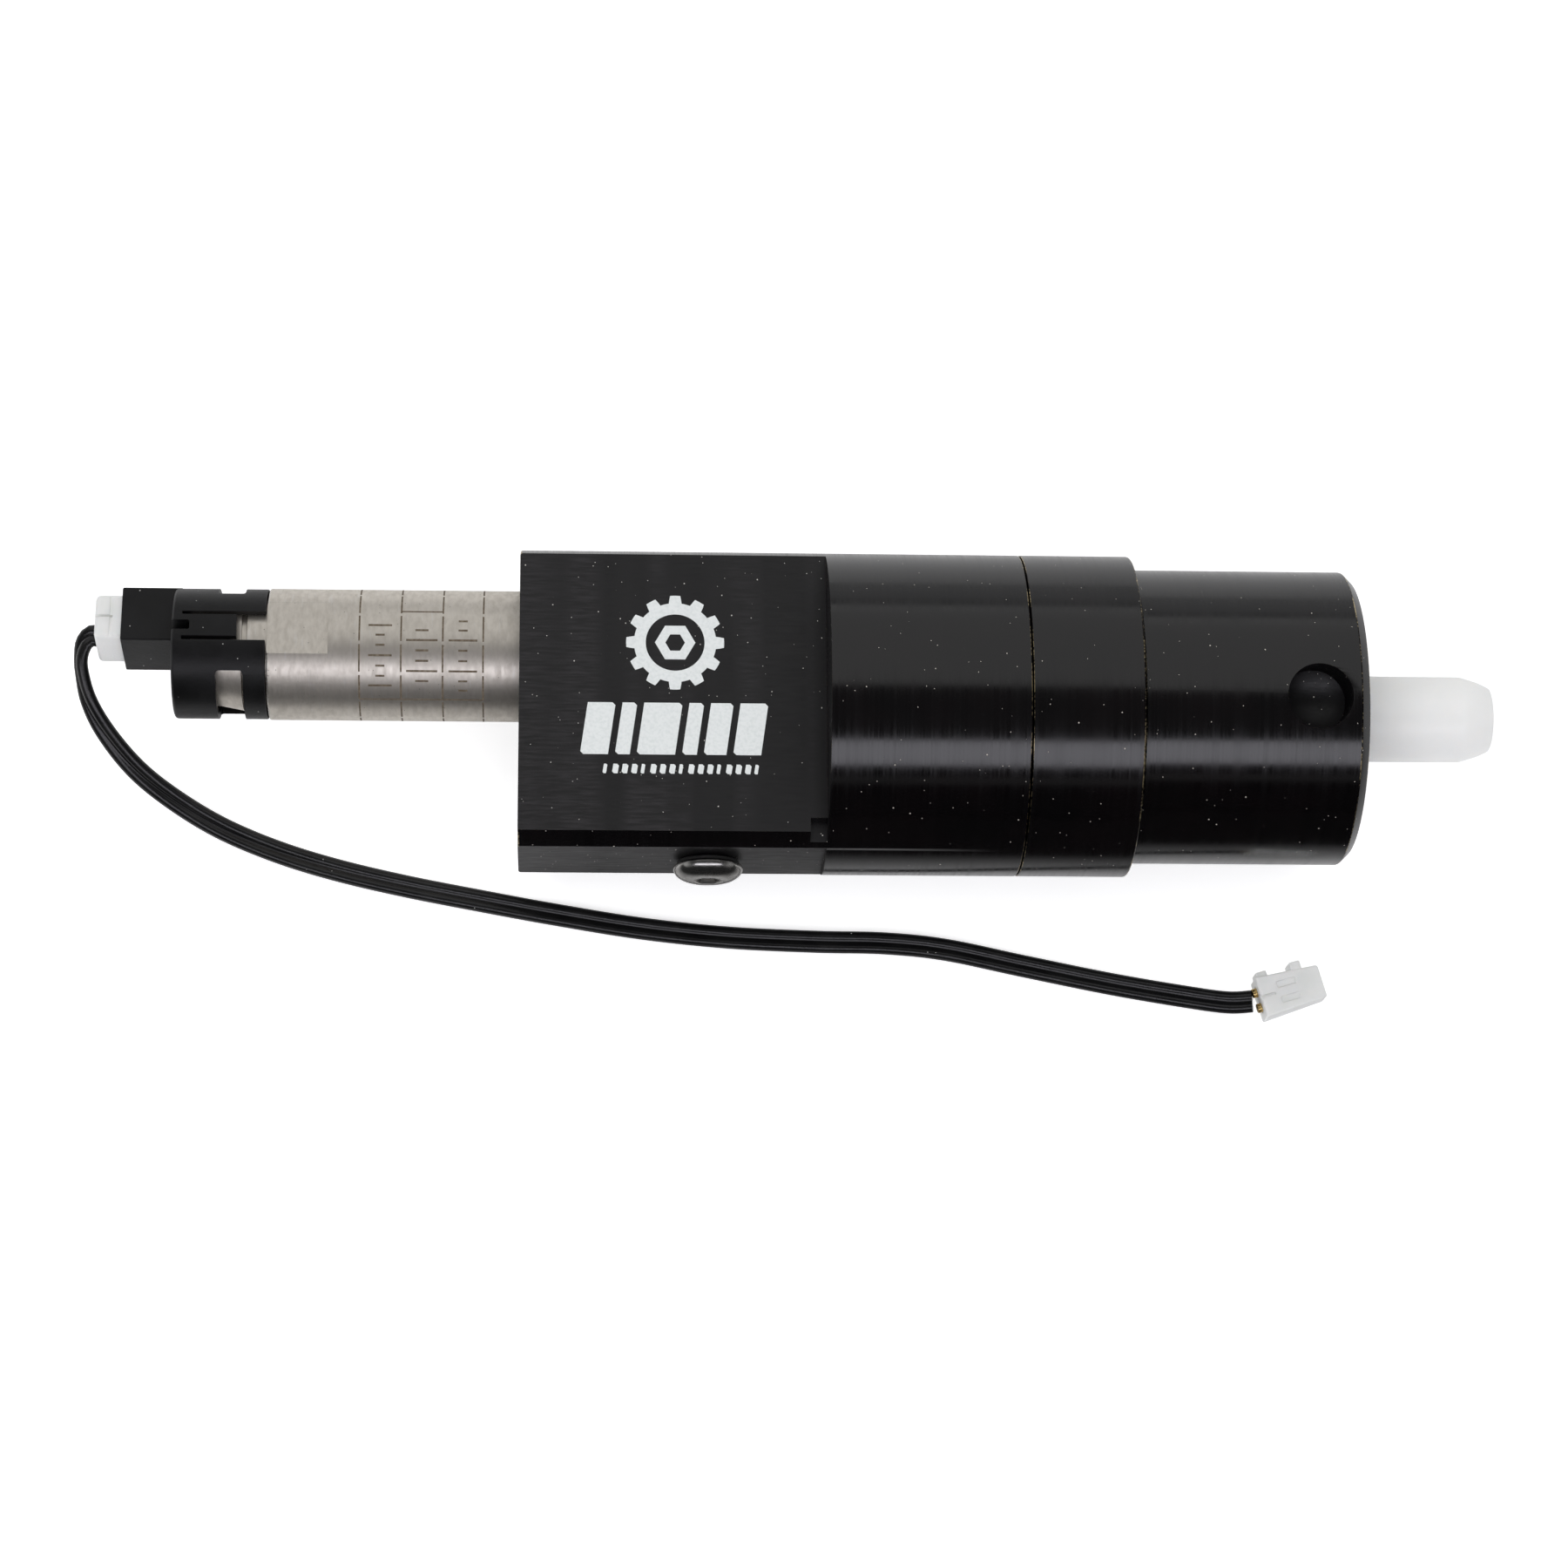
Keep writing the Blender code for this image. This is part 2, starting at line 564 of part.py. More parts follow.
def nozzle(parent, acetal):
    start, width, depth = PISTON_GROOVE
    tip = NOZZLE_BORE + TIP_LIP
    profile = [
        (PISTON_X, NOZZLE_BORE),
        (PISTON_X, PISTON_RADIUS - EDGE),
        (PISTON_X + EDGE, PISTON_RADIUS),
        (PISTON_X + start, PISTON_RADIUS),
        (PISTON_X + start, PISTON_RADIUS - depth),
        (PISTON_X + start + width, PISTON_RADIUS - depth),
        (PISTON_X + start + width, PISTON_RADIUS),
        (PISTON_FRONT_X - EDGE, PISTON_RADIUS),
        (PISTON_FRONT_X, PISTON_RADIUS - EDGE),
        (PISTON_FRONT_X, NOZZLE_RADIUS),
        (TIP_X - TIP_TAPER, NOZZLE_RADIUS),
        (TIP_X - TIP_ROUND, tip + TIP_ROUND),
        (TIP_X, tip),
        (TIP_X, NOZZLE_BORE),
    ]
    return turned("nozzle", profile, acetal, parent, MID_SIDES)


def valve_stem(parent, steel):
    rear = CHAMBER_X - STEM_SOCKET + 2 * SEAM
    flange_reach, flange_length = STEM_FLANGE
    flange_radius = STEM_RADIUS + flange_reach
    flange = CHAMBER_X + SEAM
    head = STEM_FRONT_X - STEM_HEAD_LENGTH
    groove_x, groove_width, groove_radius = stem_groove()
    profile = [
        (rear, 0),
        (rear, STEM_RADIUS),
        (flange, STEM_RADIUS),
        (flange, flange_radius),
        (flange + flange_length, flange_radius),
        (flange + flange_length, STEM_RADIUS),
        (head, STEM_RADIUS),
        (head + EDGE, STEM_HEAD_RADIUS),
        (groove_x, STEM_HEAD_RADIUS),
        (groove_x, groove_radius),
        (groove_x + groove_width, groove_radius),
        (groove_x + groove_width, STEM_HEAD_RADIUS),
        (STEM_FRONT_X - EDGE, STEM_HEAD_RADIUS),
        (STEM_FRONT_X, STEM_RADIUS),
        (STEM_FRONT_X, 0),
    ]
    turned("valve_stem", profile, steel, parent, SMALL_SIDES)


def stem_groove():
    """Start, width and bottom radius of the groove in the stem's head."""
    width, depth = STEM_GROOVE
    return STEM_FRONT_X - (STEM_HEAD_LENGTH + width) / 2, width, STEM_HEAD_RADIUS - depth


def o_ring(name, x, groove_radius, bore_radius, rubber, parent, sides, place=(0, 0, 0)):
    """A ring that fills the space between a groove's bottom and the bore round it, less a small gap."""
    section = (bore_radius - groove_radius) / 2 - RING_GAP
    profile = ring_profile(x, (bore_radius + groove_radius) / 2, section)
    return turned(name, profile, rubber, parent, sides, place)


def cylinder_seals(parent, rubber):
    width, depth = SEAL_GROOVE
    middle = SPIGOT_X + SEAM + SEAL_GROOVE_X + width / 2
    bottom = REAR_SPIGOT_RADIUS - depth
    o_ring("cylinder_o_ring", middle, bottom, REAR_SPIGOT_RADIUS + FIT, rubber, parent, BIG_SIDES)
    groove_x, groove_width, groove_radius = rod_groove()
    middle = groove_x + groove_width / 2
    o_ring("rod_o_ring", middle, NOZZLE_RADIUS, groove_radius, rubber, parent, MID_SIDES)
    groove_x, groove_width, groove_radius = stem_groove()
    middle = groove_x + groove_width / 2
    o_ring("stem_o_ring", middle, groove_radius, NOZZLE_BORE, rubber, parent, SMALL_SIDES)
    start, width, depth = PISTON_GROOVE
    middle = PISTON_X + start + width / 2
    o_ring("piston_o_ring", middle, PISTON_RADIUS - depth, CYLINDER_BORE, rubber, parent, BIG_SIDES)


def bumpers(parent, rubber):
    rear = REAR_BORE_END_X + SEAM
    inner, outer = REAR_BORE_RADIUS + 2 * FIT, CYLINDER_BORE - 2 * FIT
    profile = sleeve_profile(rear, rear + REAR_BUMPER_LENGTH, inner, outer)
    turned("rear_bumper", profile, rubber, parent, MID_SIDES)
    front = FRONT_BUMPER_X + FRONT_BUMPER_LENGTH
    inner = SPRING_POCKET_RADIUS + FIT / 2
    profile = sleeve_profile(FRONT_BUMPER_X, front, inner, outer)
    turned("front_bumper", profile, rubber, parent, MID_SIDES)


def sealing_screw(parent, steel, rubber):
    """The screw stands on the narrow flat; its own X axis points out of the block."""
    place, turn = (SCREW_X, -SIDE_FLAT, 0), (0, 0, -90)
    play, outer, thick = SCREW_SEAL
    inner = SCREW_SHANK_RADIUS + play
    profile = sleeve_profile(SEAM, SEAM + thick, inner, outer)
    turned("plug_screw_seal", profile, rubber, parent, SMALL_SIDES, place, turn)
    under = 2 * SEAM + thick
    crown = SCREW_HEAD_RADIUS * SCREW_CROWN
    end = -SCREW_SHANK_LENGTH
    profile = [(end, 0), (end, SCREW_SHANK_RADIUS), (under, SCREW_SHANK_RADIUS)]
    for step in range(DOME_STEPS + 1):
        angle = step / DOME_STEPS * math.pi / 2
        height = under + SCREW_HEAD_HEIGHT * math.sin(angle)
        profile.append((height, crown + (SCREW_HEAD_RADIUS - crown) * math.cos(angle)))
    profile.append((under + SCREW_HEAD_HEIGHT, 0))
    screw = turned("plug_screw", profile, steel, parent, SMALL_SIDES, place, turn)
    drill(screw, SCREW_HEX / 2, (SCREW_TOP - SCREW_HEX_DEPTH, 0, 0), SCREW_HEX_DEPTH + 1, sides=6)


def solenoid_can(parent, nickel):
    """The case, with a neck for the end cap, a snap groove and two wrench flats."""
    window_x = CAP_FRONT_X - WINDOW[0]
    cone_x, groove_x = window_x + SEAM, window_x + WINDOW[1] - 2 * SEAM
    groove_radius = NECK_RADIUS - SNAP_GROOVE[1]
    profile = [
        (CAN_REAR_X, 0),
        (CAN_REAR_X, groove_radius),
        (cone_x, groove_radius),
        (groove_x, NECK_RADIUS),
        (groove_x, groove_radius),
        (groove_x + SNAP_GROOVE[0], groove_radius),
        (groove_x + SNAP_GROOVE[0], NECK_RADIUS),
        (CAN_SHOULDER_X, NECK_RADIUS),
        (CAN_SHOULDER_X, CAN_RADIUS - EDGE),
        (CAN_SHOULDER_X + EDGE, CAN_RADIUS),
        (CAN_FRONT_X, CAN_RADIUS),
        (CAN_FRONT_X, CAN_BORE),
        (CAN_BORE_X, CAN_BORE),
        (CAN_BORE_X, NECK_BORE),
        (CAN_FLOOR_X, NECK_BORE),
        (CAN_FLOOR_X, 0),
    ]
    can = turned("solenoid_can", profile, nickel, parent, MID_SIDES, solenoid_place(), clocked())
    depth, length = WRENCH_FLAT
    distance = CAN_RADIUS - depth
    far = 2 * CAN_RADIUS
    for side in (1, -1):
        low, high = sorted((side * distance, side * far))
        mill(can, (CAN_SHOULDER_X - SEAM, -far, low), (CAN_SHOULDER_X + length, far, high))
    for v in pin_rows():
        drill(can, PIN_RADIUS + FIT, (CAN_REAR_X - 1, v, PIN_W), NECK_WALL + 2, sides=TINY_SIDES)


def solenoid_coil_set(parent, steel, nylon, copper):
    """Fixed pole, bobbin and winding."""
    pocket_play, _, pocket_depth = COIL_SPRING_POCKET
    pocket = COIL_SPRING[0] + pocket_play
    core = [
        (CORE_X, 0),
        (CORE_X, CAN_BORE - FIT),
        (CORE_X + CORE_FLANGE, CAN_BORE - FIT),
        (CORE_X + CORE_FLANGE, POLE_RADIUS),
        (POLE_FACE_X, POLE_RADIUS),
        (POLE_FACE_X, pocket),
        (POLE_FACE_X - pocket_depth, pocket),
        (POLE_FACE_X - pocket_depth, 0),
    ]
    place = solenoid_place()
    turned("solenoid_core", core, steel, parent, SMALL_SIDES, place)
    neck = BOBBIN_BORE + BOBBIN_WALL
    start, end = BOBBIN_X + BOBBIN_FLANGE, BOBBIN_FRONT_X - BOBBIN_FLANGE
    bobbin = [
        (BOBBIN_X, BOBBIN_BORE),
        (BOBBIN_X, BOBBIN_RADIUS),
        (start, BOBBIN_RADIUS),
        (start, neck),
        (end, neck),
        (end, BOBBIN_RADIUS),
        (BOBBIN_FRONT_X, BOBBIN_RADIUS),
        (BOBBIN_FRONT_X, BOBBIN_BORE),
    ]
    turned("solenoid_bobbin", bobbin, nylon, parent, SMALL_SIDES, place)
    winding = sleeve_profile(start + SEAM, end - SEAM, neck + FIT, COIL_RADIUS)
    turned("solenoid_coil", winding, copper, parent, SMALL_SIDES, place)


def armature_set(parent, steel, rubber, spring_steel):
    """The piece that the coil pulls back, its seal pad and its spring."""
    pad_rim, pad_length, pad_pocket = SEAL_PAD
    pad_radius = ARMATURE_RADIUS - pad_rim
    pocket_play, pocket_depth, pole_depth = COIL_SPRING_POCKET
    pocket = COIL_SPRING[0] + pocket_play
    profile = [
        (ARMATURE_X + pocket_depth, 0),
        (ARMATURE_X + pocket_depth, pocket),
        (ARMATURE_X, pocket),
        (ARMATURE_X, ARMATURE_RADIUS),
        (ARMATURE_FRONT_X, ARMATURE_RADIUS),
        (ARMATURE_FRONT_X, pad_radius + FIT),
        (ARMATURE_FRONT_X - pad_pocket, pad_radius + FIT),
        (ARMATURE_FRONT_X - pad_pocket, 0),
    ]
    place = solenoid_place()
    turned("armature", profile, steel, parent, SMALL_SIDES, place)
    pad = [(PAD_X, 0), (PAD_X, pad_radius), (PAD_X + pad_length, pad_radius), (PAD_X + pad_length, 0)]
    turned("armature_seal", pad, rubber, parent, SMALL_SIDES, place)
    radius, wire, turns = COIL_SPRING
    ends = (POLE_FACE_X - pole_depth, ARMATURE_X + pocket_depth)
    coil = (radius, wire, turns, COIL_STEPS, 0)
    coil_spring("armature_spring", ends, coil, spring_steel, parent, place)


def valve_base(parent, peek, rubber):
    """The valve seat, sealed in the block on both sides of the inlet gallery."""
    rear, guide = BOBBIN_FRONT_X + 2 * SEAM, ARMATURE_RADIUS + FIT
    width, depth = VALVE_GROOVE
    bottom = CAN_RADIUS - depth
    profile = [(rear, guide), (rear, CAN_BORE - FIT), (VALVE_X, CAN_BORE - FIT), (VALVE_X, CAN_RADIUS)]
    rings = [SCREW_X + offset for offset in VALVE_GROOVE_FROM_INLET]
    grooves = [(rings[0], width), (SCREW_X, VALVE_GALLERY), (rings[1], width)]
    for middle, groove_width in grooves:
        start, end = middle - groove_width / 2, middle + groove_width / 2
        profile += [(start, CAN_RADIUS), (start, bottom), (end, bottom), (end, CAN_RADIUS)]
    profile += [(VALVE_FRONT_X, CAN_RADIUS), (VALVE_FRONT_X, ORIFICE_RADIUS), (SEAT_X, ORIFICE_RADIUS)]
    lip = ORIFICE_RADIUS + SEAT_LIP
    profile += [(SEAT_X, lip), (SEAT_X + SEAT_LIP, lip), (SEAT_X + SEAT_LIP, guide)]
    place = solenoid_place()
    base = turned("valve_base", profile, peek, parent, MID_SIDES, place)
    feed = ORIFICE_RADIUS + FEED_OFFSET
    drill(base, FEED_RADIUS, (SEAT_X, -feed, 0), SCREW_X - SEAT_X + FEED_RADIUS, sides=TINY_SIDES)
    drill(base, FEED_RADIUS, (SCREW_X, -CAN_RADIUS, 0), CAN_RADIUS - feed + FIT, (0, 1, 0), sides=TINY_SIDES)
    for name, middle in zip(("valve_o_ring_rear", "valve_o_ring_front"), rings):
        o_ring(name, middle, bottom, CAN_RADIUS + FIT, rubber, parent, MID_SIDES, place)


def pin_rows():
    return (PIN_V - PIN_PITCH / 2, PIN_V + PIN_PITCH / 2)


def end_cap(parent, black_nylon):
    """Cap that snaps on the solenoid's neck, with the header shroud on its rear."""
    inner, front = NECK_RADIUS + FIT, CAP_FRONT_X
    profile = [
        (CAP_REAR_X, 0),
        (CAP_REAR_X, CAP_RADIUS - EDGE),
        (CAP_REAR_X + EDGE, CAP_RADIUS),
        (front, CAP_RADIUS),
        (front, inner),
        (CAP_REAR_X + CAP_WALL, inner),
        (CAP_REAR_X + CAP_WALL, 0),
    ]
    cap = turned("end_cap", profile, black_nylon, parent, MID_SIDES, solenoid_place(), clocked())
    joined = CAP_REAR_X + CAP_WALL / 2
    mill(cap, (SHROUD_REAR_X, SHROUD_V[0], SHROUD_W[0]), (joined, SHROUD_V[1], SHROUD_W[1]), "UNION")
    low, high = shroud_cavity(0.0)
    mill(cap, (SHROUD_REAR_X - 1, *low), (CAP_REAR_X - SHROUD_FLOOR, *high))
    far = 2 * CAP_RADIUS
    outer_half = TONGUE_WIDTH / 2 + SLOT_WIDTH
    for side in (1, -1):
        edges = sorted((side * TONGUE_WIDTH / 2, side * outer_half))
        mill(cap, (front - SLOT_LENGTH, edges[0], CAP_RADIUS / 2), (front + 1, edges[1], far))
    mill(cap, (front - TONGUE_GAP, -outer_half, CAP_RADIUS / 2), (front + 1, outer_half, far))
    length, width, rise = ROOT_HOLE
    mill(cap, (CAP_REAR_X - 1, -width / 2, SHROUD_W[1] + rise), (CAP_REAR_X + length, width / 2, far))
    for side in (1, -1):
        edges = sorted((side * CAP_RADIUS / 2, side * far))
        start, half_width = front - WINDOW[0], CAP_RADIUS - WINDOW_INSET
        mill(cap, (start, edges[0], -half_width), (start + WINDOW[1], edges[1], half_width))
    for v in pin_rows():
        drill(cap, PIN_RADIUS + FIT, (CAP_REAR_X - 1, v, PIN_W), CAP_WALL + 2, sides=TINY_SIDES)


def shroud_cavity(clearance):
    """Low and high (v, w) corners of the header's cavity, less a clearance all round."""
    inset = SHROUD_WALL + clearance
    low = (SHROUD_V[0] + inset, SHROUD_W[0] + inset)
    return low, (SHROUD_V[1] - inset, SHROUD_W[1] - inset)


def header_pins(parent, tinned):
    start, end = CAP_REAR_X - PIN_ENDS[0], CAP_REAR_X + PIN_ENDS[1]
    for index, v in enumerate(pin_rows(), 1):
        profile = [(start, 0), (start + PIN_RADIUS, PIN_RADIUS), (end, PIN_RADIUS), (end, 0)]
        place = clocked_point(0, v, PIN_W)
        turned(f"header_pin_{index}", profile, tinned, parent, TINY_SIDES, place)


def clocked_point(x, v, w):
    """A point of the solenoid's turned frame, in the device frame."""
    turn = Matrix.Rotation(math.radians(-CLOCK), 3, "X")
    return tuple(Vector(solenoid_place()) + turn @ Vector((x, v, w)))


def plug(parent, nylon, brass):
    """The plug on the lead, in the header, with a contact round each pin."""
    low, high = shroud_cavity(FIT)
    mesh = box_mesh("plug_housing", (PLUG_REAR_X, *low), (PLUG_FRONT_X, *high), PLUG_EDGE)
    housing = add("plug_housing", mesh, nylon, parent, solenoid_place(), clocked())
    start = PLUG_REAR_X + CONTACT_INSET
    end = start + CONTACT_LENGTH
    for index, v in enumerate(pin_rows(), 1):
        length = PLUG_FRONT_X - PLUG_REAR_X + 2
        drill(housing, CONTACT_RADIUS + FIT / 2, (PLUG_REAR_X - 1, v, PIN_W), length, sides=CONTACT_SIDES)
        place = clocked_point(0, v, PIN_W)
        crimp(f"plug_contact_{index}", start, end, CONTACT_RADIUS, CONTACT_BORE_LENGTH, brass, parent, place)


def crimp(name, start, end, radius, bore_length, brass, parent, place, turn=(0, 0, 0)):
    """A round contact with its socket open towards +X."""
    profile = [
        (start, 0),
        (start, radius),
        (end, radius),
        (end, CONTACT_BORE),
        (end - bore_length, CONTACT_BORE),
        (end - bore_length, 0),
    ]
    turned(name, profile, brass, parent, CONTACT_SIDES, place, turn)


def lead_route():
    """The route in the device frame, moved with the plug at one end and with the surface at the other."""
    home = LEAD_HOME - Vector((0, 0, BLOCK_RADIUS))
    shift = Vector(clocked_point(PLUG_REAR_X, PIN_V, PIN_W)) - home
    route = []
    for x, y, height, tilt in LEAD_ROUTE:
        share = min(1, max(0, (LEAD_REST_X - x) / (LEAD_REST_X - LEAD_HOME.x)))
        route.append((*(Vector((x, y, height - BLOCK_RADIUS)) + shift * share), tilt))
    return route


def lead(parent, insulation):
    points = smooth_route(lead_route(), LEAD_POINT_SPACING)
    tilts = [90 + point[3] for point in points]
    curve = curve_of("lead_wires", [point[:3] for point in points], WIRE_RADIUS, 2, tilts, WIRE_RADIUS)
    add("lead_wires", curve, insulation, parent)


def far_connector(parent, nylon, brass):
    """The connector at the lead's end, lying on the surface below."""
    half_width, half_height = FAR_WIDTH / 2, FAR_THICKNESS / 2
    bevel_length, bevel_depth = FAR_NOSE
    turn = (0, 0, FAR_TURN)
    shape = bmesh.new()
    sections = (
        (0, 0),
        (FAR_LENGTH - bevel_length, 0),
        (FAR_LENGTH, bevel_depth),
    )
    loops = []
    for x, inset in sections:
        wide, high = half_width - inset, half_height - inset
        corners = ((-wide, -high), (wide, -high), (wide, high), (-wide, high))
        loops.append([shape.verts.new((x, y, z)) for y, z in corners])
    for rear, front in zip(loops, loops[1:]):
        for index in range(4):
            following = (index + 1) % 4
            shape.faces.new((rear[index], rear[following], front[following], front[index]))
    shape.faces.new(loops[0])
    shape.faces.new(loops[-1])
    mesh = mesh_of("connector_housing", shape, 20.0)
    housing = add("connector_housing", mesh, nylon, parent, FAR_REAR, turn)
    length, width, height = FAR_LATCH
    side_feature(housing, FAR_LENGTH - bevel_length - length - 2 * SEAM, length, width, height)
    length, width, height = FAR_LUG
    side_feature(housing, 2 * SEAM, length, width, height)
    for index, y in enumerate((-PIN_PITCH / 2, PIN_PITCH / 2), 1):
        drill(housing, FAR_CONTACT_RADIUS + FIT / 2, (-1, y, 0), FAR_LENGTH + 2, sides=CONTACT_SIDES)
        place = FAR_REAR + Matrix.Rotation(math.radians(FAR_TURN), 3, "Z") @ Vector((0, y, 0))
        span = (-FAR_CONTACT_TAIL, FAR_LENGTH - 3 * CONTACT_INSET)
        name = f"connector_contact_{index}"
        crimp(name, *span, FAR_CONTACT_RADIUS, CONTACT_BORE_LENGTH, brass, parent, place, turn)


def side_feature(housing, start, length, width, height):
    """A block that stands on the connector's +Y side."""
    side = FAR_WIDTH / 2
    low, high = (start, side - 2 * SEAM, -width / 2), (start + length, side + height, width / 2)
    mill(housing, low, high, "UNION")


def clear_scene():
    for thing in list(bpy.data.objects):
        bpy.data.objects.remove(thing)


def main():
    clear_scene()
    anodised = finish("black_anodised", (0.012, 0.011, 0.013), 0.22, 1.0)
    acetal = finish("white_acetal", (0.86, 0.87, 0.88), 0.35)
    nickel = finish("satin_nickel", (0.60, 0.57, 0.53), 0.33, 1.0)
    steel = finish("stainless_steel", (0.62, 0.61, 0.60), 0.25, 1.0)
    peek = finish("natural_peek", (0.42, 0.33, 0.22), 0.4)
    brass = finish("brass", (0.78, 0.58, 0.25), 0.3, 1.0)
    copper = finish("copper_winding", (0.62, 0.28, 0.14), 0.35, 1.0)
    black_nylon = finish("black_nylon", (0.018, 0.018, 0.019), 0.5)
    nylon = finish("natural_nylon", (0.82, 0.84, 0.81), 0.4)
    rubber = finish("black_rubber", (0.02, 0.02, 0.02), 0.7)
    insulation = finish("black_insulation", (0.012, 0.012, 0.012), 0.3)

    device = bpy.data.objects.new("device", None)
    bpy.context.scene.collection.objects.link(device)
    device.location = Vector((-CENTRE_X, -CENTRE_Y, BLOCK_RADIUS)) * MM

    valve_block(device, anodised)
    cylinder(device, anodised)
    nose(device, anodised)
    nozzle(device, acetal)
    valve_stem(device, steel)
    cylinder_seals(device, rubber)
    bumpers(device, rubber)
    coil = (SPRING_MEAN_RADIUS, SPRING_WIRE_RADIUS, SPRING_TURNS, SPRING_STEPS, 1)
    coil_spring("return_spring", (PISTON_FRONT_X, GUIDE_X), coil, steel, device)
    sealing_screw(device, steel, rubber)
    solenoid_can(device, nickel)
    solenoid_coil_set(device, steel, nylon, copper)
    armature_set(device, steel, rubber, steel)
    valve_base(device, peek, rubber)
    end_cap(device, black_nylon)
    header_pins(device, steel)
    plug(device, nylon, brass)
    lead(device, insulation)
    far_connector(device, nylon, brass)


main()
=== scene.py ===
"""Looks of the electro-pneumatic nozzle actuator: fine meshes, finishes, studio and camera.

Sizes are in millimetres in the device's own frame, whose X axis is the cylinder's axis, with x = 0 at the
rear face of the valve block. The solenoid's pieces are in a second frame, on the solenoid's own axis.
"""

import logging
import math
from collections.abc import Callable, Iterable, Sequence
from dataclasses import dataclass, field
from enum import Enum, IntEnum
from typing import Any

import bmesh
import bpy
from mathutils import Matrix, Vector


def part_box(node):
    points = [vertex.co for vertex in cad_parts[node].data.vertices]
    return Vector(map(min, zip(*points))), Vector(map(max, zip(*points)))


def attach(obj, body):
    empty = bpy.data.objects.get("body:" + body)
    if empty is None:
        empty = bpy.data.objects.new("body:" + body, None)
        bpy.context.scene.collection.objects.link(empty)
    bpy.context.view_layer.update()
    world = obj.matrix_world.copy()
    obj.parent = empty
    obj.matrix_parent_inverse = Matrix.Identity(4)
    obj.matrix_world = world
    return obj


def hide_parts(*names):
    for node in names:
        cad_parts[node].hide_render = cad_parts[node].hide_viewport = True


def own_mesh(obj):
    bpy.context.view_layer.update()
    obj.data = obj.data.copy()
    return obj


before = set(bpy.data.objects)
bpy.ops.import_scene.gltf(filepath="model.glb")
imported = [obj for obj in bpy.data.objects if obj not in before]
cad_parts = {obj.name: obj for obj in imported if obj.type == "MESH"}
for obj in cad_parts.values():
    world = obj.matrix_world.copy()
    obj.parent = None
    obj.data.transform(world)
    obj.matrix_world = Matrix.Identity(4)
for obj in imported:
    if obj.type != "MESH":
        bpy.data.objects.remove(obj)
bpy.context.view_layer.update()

MM = 0.001
FINE = 192  # facets round the 25 mm parts
ROUND = 128  # facets round the solenoid and the nozzle
SMALL = 48  # facets round screws, pins and drilled holes
ARC_STEPS = 5  # facets in a rounded corner
TINY = 1e-6  # millimetres that count as nothing
WELD = 1e-4  # millimetres below which vertices are one
SHARP = 24.0  # degrees between two faces above which their edge gets bevelled
SMOOTH_WIRE = 50.0  # degrees below which edges of wires and springs are shaded smooth
FAR = 12.0  # well outside the device, for cutters that have to reach past its surface
log = logging.getLogger("nozzle_actuator")

Triple = tuple[float, float, float]
Pair = tuple[float, float]
Socket = bpy.types.NodeSocket


class Body(Enum):
    """Bodies that pieces ride on."""

    ACTUATOR = "actuator"
    NOZZLE = "nozzle"
    ARMATURE = "armature"
    LEAD = "lead"


class Skin(IntEnum):
    """Material slots of a piece: its turned or moulded face, its cut faces and its worn edges."""

    TURNED = 0
    CUT = 1
    WORN = 2


# Finishes


def add_node(
    tree: bpy.types.NodeTree, kind: str, inputs: dict[str | int, Any], **settings: Any
) -> bpy.types.Node:
    """Adds a node to a tree.

    Args:
        tree: The tree.
        kind: The node type, without its ShaderNode prefix.
        inputs: Values or sockets for its inputs.
        **settings: Its other settings.

    Returns:
        The node.
    """
    made = tree.nodes.new("ShaderNode" + kind)
    for key, value in settings.items():
        setattr(made, key, value)
    for key, value in inputs.items():
        if isinstance(value, Socket):
            tree.links.new(value, made.inputs[key])
        else:
            made.inputs[key].default_value = value
    return made


